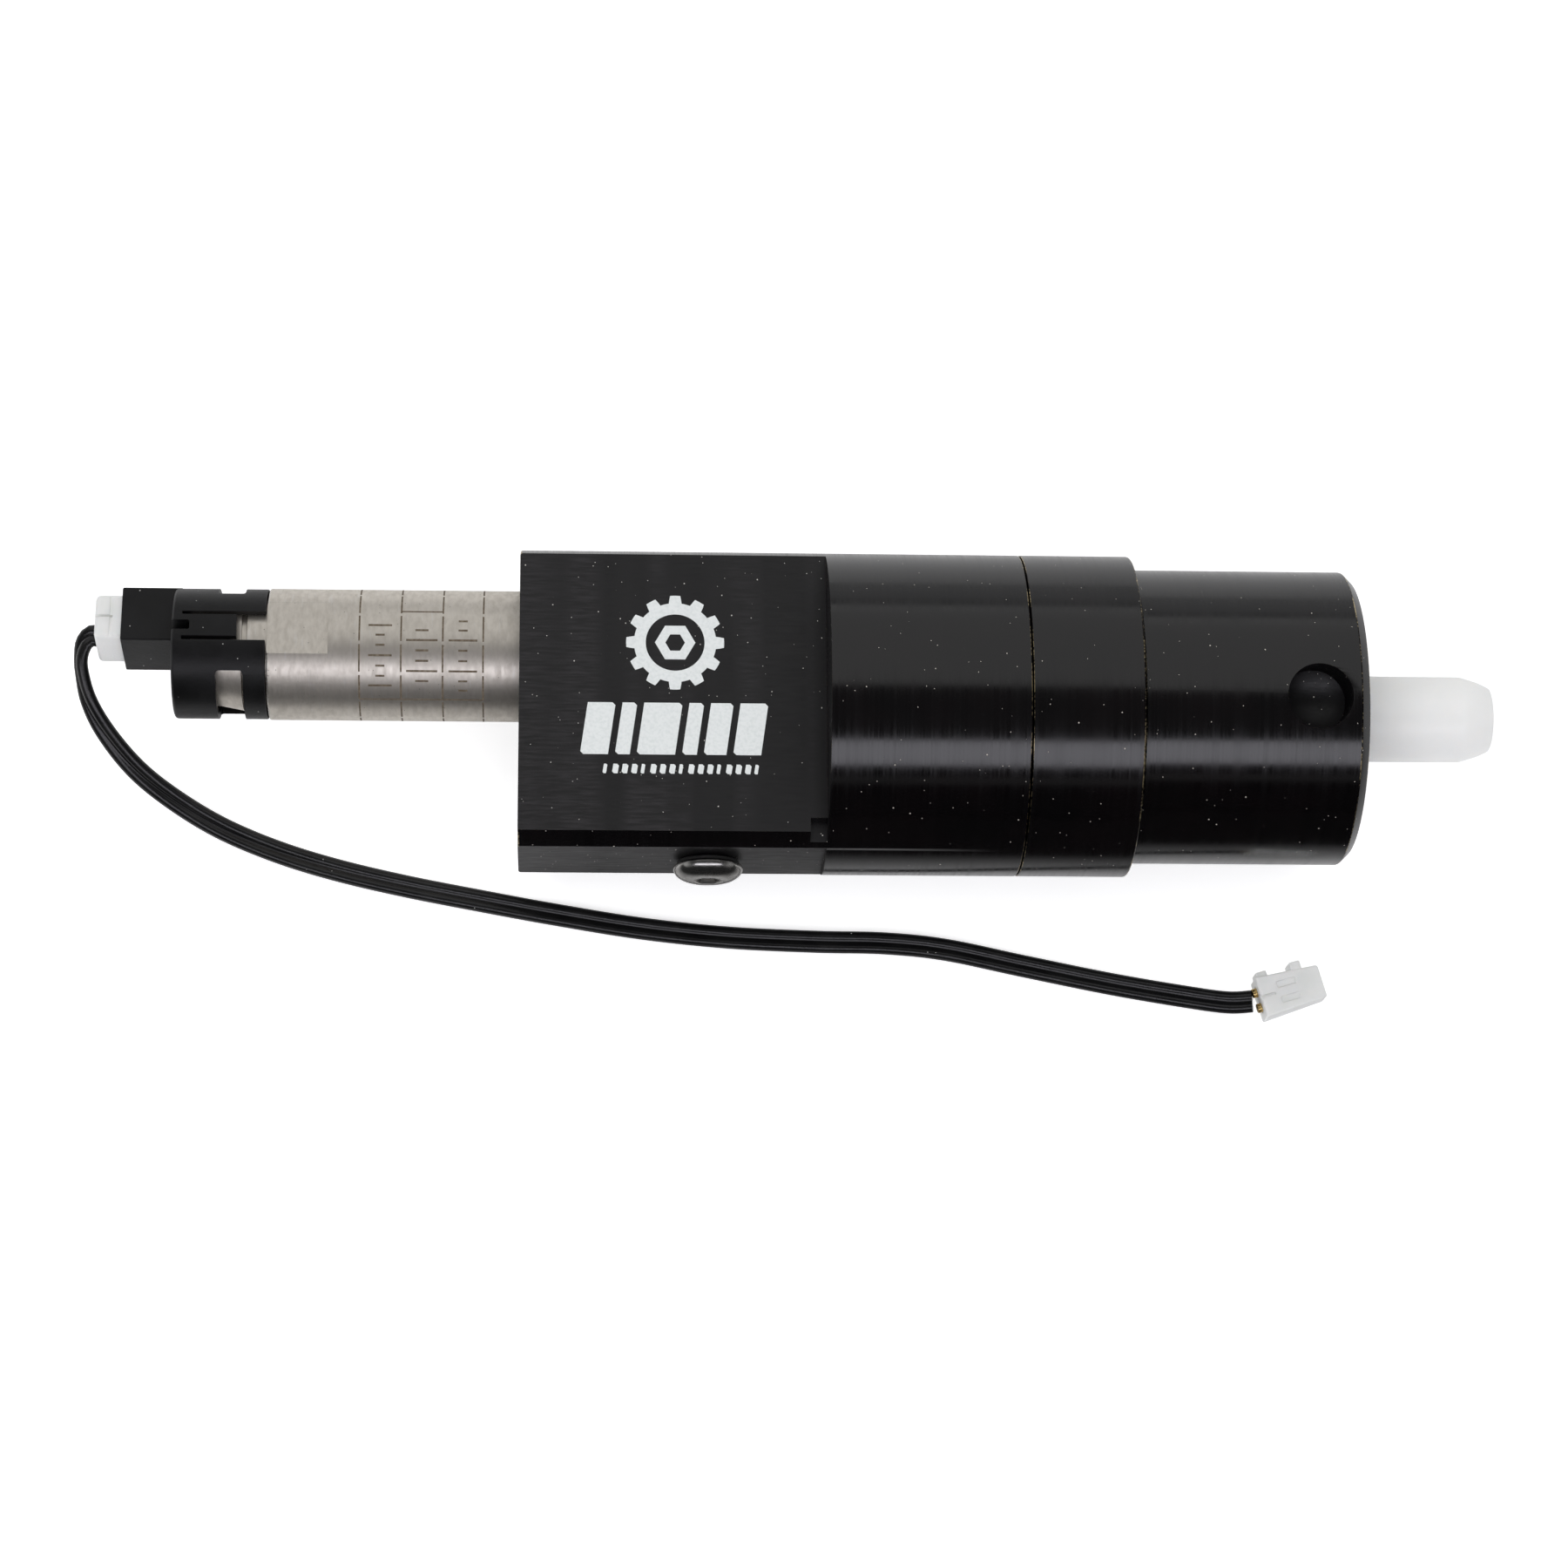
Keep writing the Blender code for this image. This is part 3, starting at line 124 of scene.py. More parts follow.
class Shade:
    """A Principled material under construction, with short calls for the nodes that finishes share."""

    def __init__(self, name: str, **settings: Any) -> None:
        """Starts the material.

        Args:
            name: The material's name.
            **settings: Values of shader sockets, with _ for a space in the socket's name.
        """
        self.material = bpy.data.materials.new(name)
        self.material.use_nodes = True
        self.tree = self.material.node_tree
        self.shader = self.tree.nodes["Principled BSDF"]
        self.coordinates = self.tree.nodes.new("ShaderNodeTexCoord").outputs["Object"]
        for key, value in settings.items():
            self.shader.inputs[key.replace("_", " ")].default_value = value

    def node(self, kind: str, inputs: dict[str | int, Any], **settings: Any) -> bpy.types.Node:
        """Adds a node to the material."""
        return add_node(self.tree, kind, inputs, **settings)

    def stretched(self, stretch: Triple) -> Socket:
        """Object coordinates, scaled along each axis."""
        return self.node("Mapping", {"Vector": self.coordinates, "Scale": stretch}).outputs["Vector"]

    def noise(self, scale: float, stretch: Triple = (1, 1, 1), detail: float = 2.0) -> Socket:
        """A noise pattern.

        Args:
            scale: Cells per metre.
            stretch: How much of the scale each axis takes.
            detail: Octaves of finer noise.

        Returns:
            Its value from 0 to 1.
        """
        inputs = {"Vector": self.stretched(stretch), "Scale": scale, "Detail": detail}
        return self.node("TexNoise", inputs).outputs[0]

    def span(self, value: Socket, low: float, high: float, start: float = 0.0, end: float = 1.0) -> Socket:
        """Maps low to high onto start to end, clamped."""
        inputs = {0: value, 1: low, 2: high, 3: start, 4: end}
        return self.node("MapRange", inputs).outputs[0]

    def both(self, first: Socket, second: Socket | float, how: str = "MULTIPLY") -> Socket:
        """Combines two values with a Math node."""
        return self.node("Math", {0: first, 1: second}, operation=how).outputs[0]

    def mixed(self, share: Socket, first: Any, second: Any) -> Socket:
        """Mixes two colours.

        Args:
            share: How much of the second colour shows.
            first: A colour or a socket.
            second: A colour or a socket.

        Returns:
            The mixed colour.
        """
        node = self.node("Mix", {"Factor": share}, data_type="RGBA")
        for socket, value in ((node.inputs[6], first), (node.inputs[7], second)):
            if isinstance(value, Socket):
                self.tree.links.new(value, socket)
            else:
                socket.default_value = (*value, 1.0)
        return node.outputs[2]

    def specks(self, per_metre: float, size: float, share: float) -> Socket:
        """Scattered dust specks.

        Args:
            per_metre: Cells of the pattern in a metre.
            size: Speck radius as a share of a cell.
            share: Level above which a cell's own number lets its speck show.

        Returns:
            1 in a speck and 0 outside.
        """
        inputs = {"Vector": self.coordinates, "Scale": per_metre}
        cells = self.node("TexVoronoi", inputs)
        near = self.span(cells.outputs["Distance"], size * 0.6, size, 1.0, 0.0)
        red = self.node("SeparateColor", {0: cells.outputs["Color"]}).outputs[0]
        return self.both(near, self.both(red, share, "GREATER_THAN"))

    def bump(self, heights: Sequence[tuple[Socket, float]]) -> None:
        """Chains bumps into the shader's normal.

        Args:
            heights: Pairs of a height pattern and its depth in metres.
        """
        normal = None
        for height, depth in heights:
            inputs = {"Height": height, "Distance": depth}
            if normal:
                inputs["Normal"] = normal
            normal = self.node("Bump", inputs).outputs["Normal"]
        self.tree.links.new(normal, self.shader.inputs["Normal"])

    def colour(self, value: Socket) -> None:
        """Links the shader's base colour."""
        self.tree.links.new(value, self.shader.inputs["Base Color"])

    def roughness(self, value: Socket) -> None:
        """Links the shader's roughness."""
        self.tree.links.new(value, self.shader.inputs["Roughness"])


@dataclass(frozen=True)
class Finish:
    """A surface finish, made once as a material and shared by the pieces that have it."""

    name: str
    slot: str  # the name of the material slot that the finish belongs to

    def material(self) -> bpy.types.Material:
        """The finish's material, made at its first use."""
        return bpy.data.materials.get(self.name + "_finish") or self.shade().material

    def shade(self) -> Shade:
        """Builds the material's nodes; each finish has its own."""
        raise NotImplementedError


@dataclass(frozen=True)
class TurnedAnodise(Finish):
    """Glossy black anodise over turned aluminium, with rings left by the tool and a few dust specks."""

    dark: Triple = (0.0011, 0.0008, 0.0011)
    warm: Triple = (0.0022, 0.0013, 0.0017)
    dust: Triple = (0.58, 0.54, 0.48)
    tool_pitch: float = 9000.0  # rings in a metre

    def shade(self) -> Shade:
        """Builds the material's nodes.

        Returns:
            The material under construction.
        """
        shade = Shade(self.name + "_finish", IOR=1.62, Specular_IOR_Level=0.5)
        rings = shade.noise(self.tool_pitch, (1, 0.004, 0.004), 3.0)
        waves = shade.noise(900.0, (1, 0.05, 0.05))
        patches = shade.noise(260.0)
        grain = shade.noise(24000.0)
        base = shade.mixed(shade.span(patches, 0.35, 0.7), self.dark, self.warm)
        specks = shade.both(shade.specks(760.0, 0.050, 0.42), shade.specks(1700.0, 0.075, 0.62), "MAXIMUM")
        shade.colour(shade.mixed(specks, base, self.dust))
        fine = shade.span(rings, 0.3, 0.7, 0.10, 0.19)
        broad = shade.span(waves, 0.3, 0.7, 0.0, 0.05)
        gloss = shade.both(fine, broad, "ADD")
        shade.roughness(shade.both(gloss, shade.span(specks, 0.0, 1.0, 0.0, 0.5), "ADD"))
        shade.bump([(rings, 0.0000012), (grain, 0.0000009), (specks, 0.000012)])
        return shade


@dataclass(frozen=True)
class MilledAnodise(Finish):
    """Satin black anodise over a milled face, with short cutter ridges and dust."""

    dark: Triple = (0.0030, 0.0026, 0.0031)
    light: Triple = (0.0165, 0.0148, 0.0165)
    rough_end: Pair = (0.0008, 0.0045)  # metres from the rear face, where the ridges fade
    dust: Triple = (0.62, 0.60, 0.56)

    def shade(self) -> Shade:
        """Builds the material's nodes.

        Returns:
            The material under construction.
        """
        shade = Shade(self.name + "_finish", IOR=1.55)
        ridges = shade.noise(5200.0, (0.10, 1, 1), 2.0)
        passes = shade.noise(330.0, (1, 0.08, 0.08), 1.0)
        grain = shade.noise(30000.0)
        along = shade.node("SeparateXYZ", {0: shade.coordinates}).outputs["X"]
        rough_end = shade.span(along, *self.rough_end, 1.0, 0.0)
        worked = shade.both(shade.span(passes, 0.42, 0.62), rough_end, "MAXIMUM")
        base = shade.mixed(shade.both(shade.span(ridges, 0.35, 0.7), worked), self.dark, self.light)
        specks = shade.both(shade.specks(900.0, 0.055, 0.10), shade.specks(1900.0, 0.080, 0.50), "MAXIMUM")
        shade.colour(shade.mixed(specks, base, self.dust))
        shade.roughness(shade.span(ridges, 0.3, 0.7, 0.36, 0.5))
        shade.bump([(shade.both(ridges, worked), 0.000009), (grain, 0.0000015), (specks, 0.000015)])
        return shade


@dataclass(frozen=True)
class WornEdge(Finish):
    """Edge where the anodise has rubbed thin and the metal glints through with a golden tint."""

    metal: Triple = (0.66, 0.55, 0.33)
    stain: Triple = (0.016, 0.013, 0.012)

    def shade(self) -> Shade:
        """Builds the material's nodes.

        Returns:
            The material under construction.
        """
        shade = Shade(self.name + "_finish", Metallic=1.0, Roughness=0.3)
        wear = shade.both(shade.noise(420.0), shade.noise(5200.0), "ADD")
        shade.colour(shade.mixed(shade.span(wear, 0.98, 1.24), self.stain, self.metal))
        shade.bump([(shade.noise(14000.0), 0.000002)])
        return shade


@dataclass(frozen=True)
class SatinNickel(Finish):
    """Nickel plate on a turned case, with fine rings, scratches and tiny pits."""

    light: Triple = (0.80, 0.750, 0.675)
    dull: Triple = (0.70, 0.652, 0.580)
    pit: Triple = (0.16, 0.14, 0.115)
    scratch: Triple = (0.84, 0.81, 0.77)

    def shade(self) -> Shade:
        """Builds the material's nodes.

        Returns:
            The material under construction.
        """
        shade = Shade(self.name + "_finish", Metallic=0.96)
        rings = shade.noise(7000.0, (1, 0.03, 0.03), 3.0)
        cloud = shade.noise(2600.0, (1.0, 0.5, 0.5), 4.0)
        lines = shade.noise(3600.0, (1.0, 0.16, 0.10), 3.0)
        pits = shade.both(shade.specks(2600.0, 0.12, 0.86), shade.specks(1200.0, 0.06, 0.6), "MAXIMUM")
        base = shade.mixed(shade.span(cloud, 0.38, 0.66), self.light, self.dull)
        base = shade.mixed(shade.span(lines, 0.63, 0.70, 0.0, 0.45), base, self.scratch)
        shade.colour(shade.mixed(shade.both(pits, 0.75), base, self.pit))
        broad = shade.span(cloud, 0.3, 0.7, 0.35, 0.44)
        fine = shade.span(rings, 0.3, 0.7, 0.0, 0.06)
        shade.roughness(shade.both(broad, fine, "ADD"))
        shade.bump([(rings, 0.0000022), (lines, 0.0000030), (pits, -0.000006)])
        return shade


@dataclass(frozen=True)
class Steel(Finish):
    """Bright steel, turned or drawn, with faint rings and handling marks."""

    bright: Triple = (0.54, 0.53, 0.51)
    dim: Triple = (0.36, 0.345, 0.33)
    rough: Pair = (0.16, 0.30)

    def shade(self) -> Shade:
        """Builds the material's nodes.

        Returns:
            The material under construction.
        """
        shade = Shade(self.name + "_finish", Metallic=1.0)
        rings = shade.noise(9000.0, (1, 0.1, 0.1))
        cloud = shade.noise(1500.0, detail=4.0)
        shade.colour(shade.mixed(shade.span(cloud, 0.35, 0.7), self.bright, self.dim))
        shade.roughness(shade.span(cloud, 0.3, 0.7, *self.rough))
        shade.bump([(rings, 0.000001), (shade.noise(5200.0), 0.000003)])
        return shade


@dataclass(frozen=True)
class Moulded(Finish):
    """Moulded plastic with a fine grain, slightly uneven colour and an optional glow below its surface."""

    base: Triple
    tint: Triple
    rough: Pair
    grain: float  # depth of the grain in metres
    glow: float = 0.0
    glow_reach: float = 0.0  # metres that light travels below the surface
    clear: float = 0.0
    specular: float = 0.5
    dust: Triple = (0.5, 0.5, 0.48)
    dusty: float = 0.0  # level above which dust shows, or 0 for none

    def shade(self) -> Shade:
        """Builds the material's nodes.

        Returns:
            The material under construction.
        """
        settings = {"Transmission_Weight": self.clear, "Specular_IOR_Level": self.specular}
        shade = Shade(self.name + "_finish", Subsurface_Weight=self.glow, **settings)
        if self.glow:
            shade.shader.inputs["Subsurface Radius"].default_value = (1.0, 0.95, 0.9)
            shade.shader.inputs["Subsurface Scale"].default_value = self.glow_reach
        cloud = shade.noise(480.0, detail=3.0)
        fine = shade.noise(15000.0)
        colour = shade.mixed(shade.span(cloud, 0.35, 0.68), self.base, self.tint)
        heights = [(fine, self.grain), (shade.noise(3300.0), self.grain * 1.5)]
        if self.dusty:
            specks = shade.specks(1500.0, 0.085, self.dusty)
            colour = shade.mixed(specks, colour, self.dust)
            heights.append((specks, 0.00001))
        shade.colour(colour)
        shade.roughness(shade.span(shade.both(cloud, fine, "ADD"), 0.7, 1.3, *self.rough))
        shade.bump(heights)
        return shade


@dataclass(frozen=True)
class Ink(Finish):
    """Printed or etched marking, slightly uneven in cover."""

    base: Triple
    thin: Triple
    rough: float

    def shade(self) -> Shade:
        """Builds the material's nodes.

        Returns:
            The material under construction.
        """
        shade = Shade(self.name + "_finish", Roughness=self.rough)
        cover = shade.noise(4200.0, detail=3.0)
        shade.colour(shade.mixed(shade.span(cover, 0.42, 0.75), self.base, self.thin))
        shade.bump([(shade.noise(9000.0), 0.0000015)])
        return shade


GLOSS_BLACK = TurnedAnodise("turned_anodise", "black_anodised")
SATIN_BLACK = MilledAnodise("milled_anodise", "black_anodised")
RUBBED_EDGE = WornEdge("rubbed_edge", "black_anodised")
NICKEL = SatinNickel("satin_nickel", "satin_nickel")
NICKEL_EDGE = Steel(
    "nickel_edge", "satin_nickel", bright=(0.85, 0.83, 0.79), dim=(0.6, 0.57, 0.52), rough=(0.2, 0.3)
)
STAINLESS = Steel("stainless", "stainless_steel")
SPRING_STEEL = Steel(
    "spring_steel", "stainless_steel", bright=(0.5, 0.49, 0.47), dim=(0.32, 0.3, 0.28), rough=(0.22, 0.34)
)
BRASS = Steel("gold_flash", "brass", bright=(0.82, 0.60, 0.25), dim=(0.62, 0.42, 0.16), rough=(0.2, 0.34))
COPPER = Steel(
    "enamelled_copper",
    "copper_winding",
    bright=(0.66, 0.30, 0.15),
    dim=(0.48, 0.19, 0.09),
    rough=(0.25, 0.36),
)
ACETAL = Moulded(
    "milky_acetal",
    "white_acetal",
    base=(0.97, 0.97, 0.935),
    tint=(0.935, 0.94, 0.91),
    rough=(0.30, 0.42),
    grain=0.000002,
    glow=0.55,
    glow_reach=0.0012,
)
NYLON = Moulded(
    "natural_nylon",
    "natural_nylon",
    base=(0.955, 0.96, 0.935),
    tint=(0.89, 0.905, 0.88),
    rough=(0.26, 0.42),
    grain=0.000004,
    glow=0.6,
    glow_reach=0.0009,
    clear=0.12,
)
BLACK_NYLON = Moulded(
    "black_nylon",
    "black_nylon",
    base=(0.0030, 0.0029, 0.0032),
    tint=(0.0055, 0.0055, 0.006),
    rough=(0.34, 0.46),
    grain=0.000006,
    specular=0.32,
    dusty=0.60,
)
BLACK_NYLON_EDGE = Moulded(
    "black_nylon_edge",
    "black_nylon",
    base=(0.010, 0.010, 0.011),
    tint=(0.022, 0.022, 0.022),
    rough=(0.36, 0.46),
    grain=0.000004,
    specular=0.4,
)
INSULATION = Moulded(
    "wire_insulation",
    "black_insulation",
    base=(0.0055, 0.0055, 0.006),
    tint=(0.010, 0.010, 0.010),
    rough=(0.15, 0.26),
    grain=0.000005,
    dusty=0.86,
)
RUBBER = Moulded(
    "black_rubber",
    "black_rubber",
    base=(0.012, 0.012, 0.012),
    tint=(0.02, 0.02, 0.02),
    rough=(0.5, 0.7),
    grain=0.000006,
)
PEEK = Moulded(
    "tan_peek",
    "natural_peek",
    base=(0.42, 0.33, 0.22),
    tint=(0.36, 0.28, 0.18),
    rough=(0.35, 0.5),
    grain=0.000004,
)
WHITE_PRINT = Ink("white_print", "black_anodised", (0.84, 0.87, 0.86), (0.74, 0.78, 0.77), 0.5)
BROWN_ETCH = Ink("brown_etch", "satin_nickel", (0.105, 0.075, 0.045), (0.22, 0.18, 0.13), 0.6)

# Finishes of a piece, in the order of Skin.
ANODISED = (GLOSS_BLACK, SATIN_BLACK, RUBBED_EDGE)
PLATED = (NICKEL, NICKEL, NICKEL_EDGE)
CAP_BLACK = (BLACK_NYLON, BLACK_NYLON, BLACK_NYLON_EDGE)
MOULDED_WHITE = (NYLON,) * 3
ALL_STEEL = (STAINLESS,) * 3


# The workbench


@dataclass(frozen=True)
class Stop:
    """A corner of a turned profile."""

    x: float
    r: float  # distance from the axis
    edge: float = 0.0  # how far the corner is rounded
    skin: Skin = Skin.TURNED  # of the stretch that starts here


def rounded(profile: Sequence[Stop]) -> tuple[list[Pair], list[Skin]]:
    """Rounds a profile's corners.

    Args:
        profile: The corners, from axis to axis or round a closed outline.

    Returns:
        The outline's points, and the skin of the stretch that starts at each.
    """
    points: list[Pair] = []
    skins: list[Skin] = []
    for index, stop in enumerate(profile):
        before, after = profile[index - 1], profile[(index + 1) % len(profile)]
        corner = Vector((stop.x, stop.r))
        back, forth = Vector((before.x, before.r)) - corner, Vector((after.x, after.r)) - corner
        reach = min(stop.edge, 0.45 * back.length, 0.45 * forth.length)
        if reach < TINY:
            points.append(corner.to_tuple())
            skins.append(stop.skin)
            continue
        start, end = corner + back.normalized() * reach, corner + forth.normalized() * reach
        for step in range(ARC_STEPS + 1):
            t = step / ARC_STEPS
            points.append((start * (1 - t) ** 2 + corner * 2 * t * (1 - t) + end * t * t).to_tuple())
            skins.append(Skin.WORN if 0 < step < ARC_STEPS - 1 else stop.skin)
        skins[-ARC_STEPS - 1] = before.skin  # the arc's first facet goes with the stretch before it
    return points, skins


def lathe(name: str, profile: Sequence[Stop], sides: int) -> bpy.types.Mesh:
    """Turns a profile about X.

    Args:
        name: The mesh's name.
        profile: Its corners, from axis to axis, or a ring's closed outline.
        sides: Facets round the axis.

    Returns:
        The mesh, in millimetres.
    """
    points, skins = rounded(profile)
    shape = bmesh.new()
    rows: list[list[bmesh.types.BMVert]] = []
    for x, r in points:
        if r < TINY:
            rows.append([shape.verts.new((x, 0, 0))] * sides)
            continue
        angles = [math.tau * (step + 0.5) / sides for step in range(sides)]
        rows.append([shape.verts.new((x, r * math.sin(a), r * math.cos(a))) for a in angles])
    closed = points[0][1] > TINY
    for index in range(len(rows) - (not closed)):
        row, following = rows[index], rows[(index + 1) % len(rows)]
        for step in range(sides):
            turn = (step + 1) % sides
            corners = dict.fromkeys((row[step], row[turn], following[turn], following[step]))
            if len(corners) > 2:
                shape.faces.new(corners).material_index = skins[index]
    return mesh_from(name, shape)


def mesh_from(name: str, shape: bmesh.types.BMesh) -> bpy.types.Mesh:
    """Makes a mesh from a bmesh, with its normals pointing out.

    Args:
        name: The mesh's name.
        shape: The bmesh, which is freed.

    Returns:
        The mesh.
    """
    bmesh.ops.recalc_face_normals(shape, faces=shape.faces)
    mesh = bpy.data.meshes.new(name)
    shape.to_mesh(mesh)
    shape.free()
    return mesh


def block(low: Triple, high: Triple, edge: float = 0.0, steps: int = 1) -> bpy.types.Mesh:
    """Makes a box with broken edges and cut faces.

    Args:
        low: Its lowest corner.
        high: Its highest corner.
        edge: Width of the bevel on its edges.
        steps: Facets in a bevel.

    Returns:
        The mesh.
    """
    shape = bmesh.new()
    bmesh.ops.create_cube(shape, size=1.0)
    bmesh.ops.scale(shape, vec=Vector(high) - Vector(low), verts=shape.verts)
    bmesh.ops.translate(shape, vec=(Vector(high) + Vector(low)) / 2, verts=shape.verts)
    if edge:
        bmesh.ops.bevel(shape, geom=shape.edges, offset=edge, segments=steps, profile=0.5, affect="EDGES")
    for face in shape.faces:
        face.material_index = Skin.CUT
    return mesh_from("block", shape)


def drill(start: Triple, aim: Triple, radius: float, depth: float, tip: float = 0.0) -> bpy.types.Mesh:
    """Makes a drill's shape, for cutting.

    Args:
        start: Where it starts.
        aim: The direction that it cuts in.
        radius: Its radius.
        depth: Its length up to the tip.
        tip: Length of its conical tip.

    Returns:
        The mesh.
    """
    cut = Skin.CUT
    profile = [
        Stop(0, 0, skin=cut),
        Stop(0, radius, skin=cut),
        Stop(depth, radius, skin=cut),
        Stop(depth + tip, 0),
    ]
    mesh = lathe("drill", profile, SMALL)
    turn = Vector((1, 0, 0)).rotation_difference(Vector(aim)).to_matrix().to_4x4()
    mesh.transform(Matrix.Translation(start) @ turn)
    return mesh


class Blank:
    """A piece on the bench, in millimetres, while it is cut, joined and finished."""

    def __init__(self, name: str, mesh: bpy.types.Mesh, finishes: Sequence[Finish]) -> None:
        """Puts the piece on the bench.

        Args:
            name: The piece's name.
            mesh: Its mesh.
            finishes: Its finishes, in the order of Skin.
        """
        self.piece = bpy.data.objects.new(name, mesh)
        self.finishes = finishes
        bpy.context.scene.collection.objects.link(self.piece)
        self.wear_slots(mesh)

    def wear_slots(self, mesh: bpy.types.Mesh) -> None:
        """Gives a mesh the piece's material slots.

        Args:
            mesh: The mesh, whose faces carry values of Skin.
        """
        indices = [polygon.material_index for polygon in mesh.polygons]
        mesh.materials.clear()
        for finish in self.finishes:
            mesh.materials.append(finish.material())
        last = len(self.finishes) - 1
        mesh.polygons.foreach_set("material_index", [min(index, last) for index in indices])

    def work(self, operation: str, meshes: Iterable[bpy.types.Mesh]) -> "Blank":
        """Cuts meshes from the piece or joins them to it.

        Args:
            operation: DIFFERENCE or UNION.
            meshes: The shapes to cut or join.

        Returns:
            The blank itself.
        """
        tools = []
        for mesh in meshes:
            self.wear_slots(mesh)
            tool = bpy.data.objects.new(self.piece.name + "_tool", mesh)
            bpy.context.scene.collection.objects.link(tool)
            modifier = self.piece.modifiers.new("work", "BOOLEAN")
            modifier.operation = operation
            modifier.object = tool
            tools.append(tool)
        self.settle()
        for tool in tools:
            bpy.data.objects.remove(tool)
        return self

    def settle(self) -> None:
        """Applies the piece's modifiers to its mesh."""
        bpy.context.view_layer.update()
        graph = bpy.context.evaluated_depsgraph_get()
        made = bpy.data.meshes.new_from_object(self.piece.evaluated_get(graph))
        self.piece.modifiers.clear()
        self.piece.data = made

    def cut(self, *meshes: bpy.types.Mesh) -> "Blank":
        """Cuts meshes from the piece."""
        return self.work("DIFFERENCE", meshes)

    def join(self, *meshes: bpy.types.Mesh) -> "Blank":
        """Joins meshes to the piece."""
        return self.work("UNION", meshes)

    def break_edges(self, width: float) -> "Blank":
        """Bevels the edges that cutting left.

        Args:
            width: The bevel's width.

        Returns:
            The blank itself.
        """
        shape = bmesh.new()
        shape.from_mesh(self.piece.data)
        bmesh.ops.remove_doubles(shape, verts=shape.verts, dist=WELD)
        bmesh.ops.dissolve_degenerate(shape, edges=shape.edges, dist=WELD)
        limit = math.radians(SHARP)
        sharp = [
            edge
            for edge in shape.edges
            if len(edge.link_faces) == 2
            and edge.calc_face_angle(0.0) > limit
            and any(face.material_index == Skin.CUT for face in edge.link_faces)
        ]
        bmesh.ops.bevel(
            shape,
            geom=sharp,
            offset=width,
            segments=2,
            profile=0.5,
            affect="EDGES",
            material=Skin.WORN,
            clamp_overlap=True,
            loop_slide=True,
        )
        shape.to_mesh(self.piece.data)
        shape.free()
        return self

    def place(
        self, seat: Matrix, body: Body, replaced: Sequence[str] = (), smooth: float = 28.0
    ) -> bpy.types.Object:
        """Takes the piece off the bench and puts it on the device.

        Args:
            seat: The frame that its millimetres are in, in metres.
            body: The body that it rides on.
            replaced: Nodes that it stands for.
            smooth: Angle, in degrees, below which edges are shaded smooth.

        Returns:
            The piece.
        """
        mesh = self.piece.data
        mesh.transform(Matrix.Scale(MM, 4))
        mesh.shade_smooth()
        mesh.set_sharp_from_angle(angle=math.radians(smooth))
        shading = self.piece.modifiers.new("shading", "WEIGHTED_NORMAL")
        shading.keep_sharp = True
        shading.weight = 90
        self.settle()
        mesh = self.piece.data
        mesh.name = self.piece.name
        self.piece.matrix_world = seat
        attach(self.piece, body.value)
        if replaced:
            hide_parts(*replaced)
        log.info("%s: %d faces, rides on %s", self.piece.name, len(mesh.polygons), body.value)
        return self.piece


def dress(finish: Finish, *nodes: str) -> None:
    """Gives CAD nodes that keep their own shape a finish.

    Args:
        finish: The finish.
        *nodes: The nodes' names.
    """
    for name in nodes:
        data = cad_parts[name].data
        data.materials.clear()
        data.materials.append(finish.material())
        log.info("%s: keeps its shape, finished as %s", name, finish.name)


@dataclass
class Seats:
    """The two frames that pieces are made in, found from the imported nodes."""

    clock: float = 10.0  # degrees that the solenoid is turned about its axis
    origin: Vector = field(init=False)  # metres
    device: Matrix = field(init=False)
    solenoid: Matrix = field(init=False)
    offset: Vector = field(init=False)  # from the device's axis to the solenoid's

    def __post_init__(self) -> None:
        """Finds the frames from the nodes' boxes."""
        low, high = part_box("cylinder")
        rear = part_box("valve_block")[0].x
        self.origin = Vector((rear, (low.y + high.y) / 2, (low.z + high.z) / 2))
        self.device = Matrix.Translation(self.origin)
        low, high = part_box("solenoid_bobbin")
        axis = Vector((rear, (low.y + high.y) / 2, (low.z + high.z) / 2))
        self.solenoid = Matrix.Translation(axis) @ Matrix.Rotation(math.radians(-self.clock), 4, "X")
        self.offset = (axis - self.origin) / MM


# Studio


@dataclass(frozen=True)
class Panel:
    """A soft light panel, aimed at the device, in metres."""

    name: str
    towards: Triple  # direction from the device to the panel
    distance: float
    width: float  # along X
    height: float
    radiance: float
    in_gloss: bool = True  # whether it shows in reflections
    colour: Triple = (1.0, 1.0, 1.0)

    def build(self, centre: Vector) -> None:
        """Hangs the panel.

        Args:
            centre: The point that it faces.
        """
        light = bpy.data.lights.new(self.name, "AREA")
        light.shape = "RECTANGLE"
        light.size, light.size_y = self.width, self.height
        light.energy = self.radiance * math.pi * self.width * self.height
        light.color = self.colour
        holder = bpy.data.objects.new(self.name, light)
        bpy.context.scene.collection.objects.link(holder)
        aim = Vector(self.towards).normalized()
        up = aim.cross(Vector((1, 0, 0))).normalized()
        turn = Matrix((up.cross(aim), up, aim)).transposed().to_4x4()
        holder.matrix_world = Matrix.Translation(centre + aim * self.distance) @ turn
        holder.visible_glossy = self.in_gloss
        holder.visible_camera = False


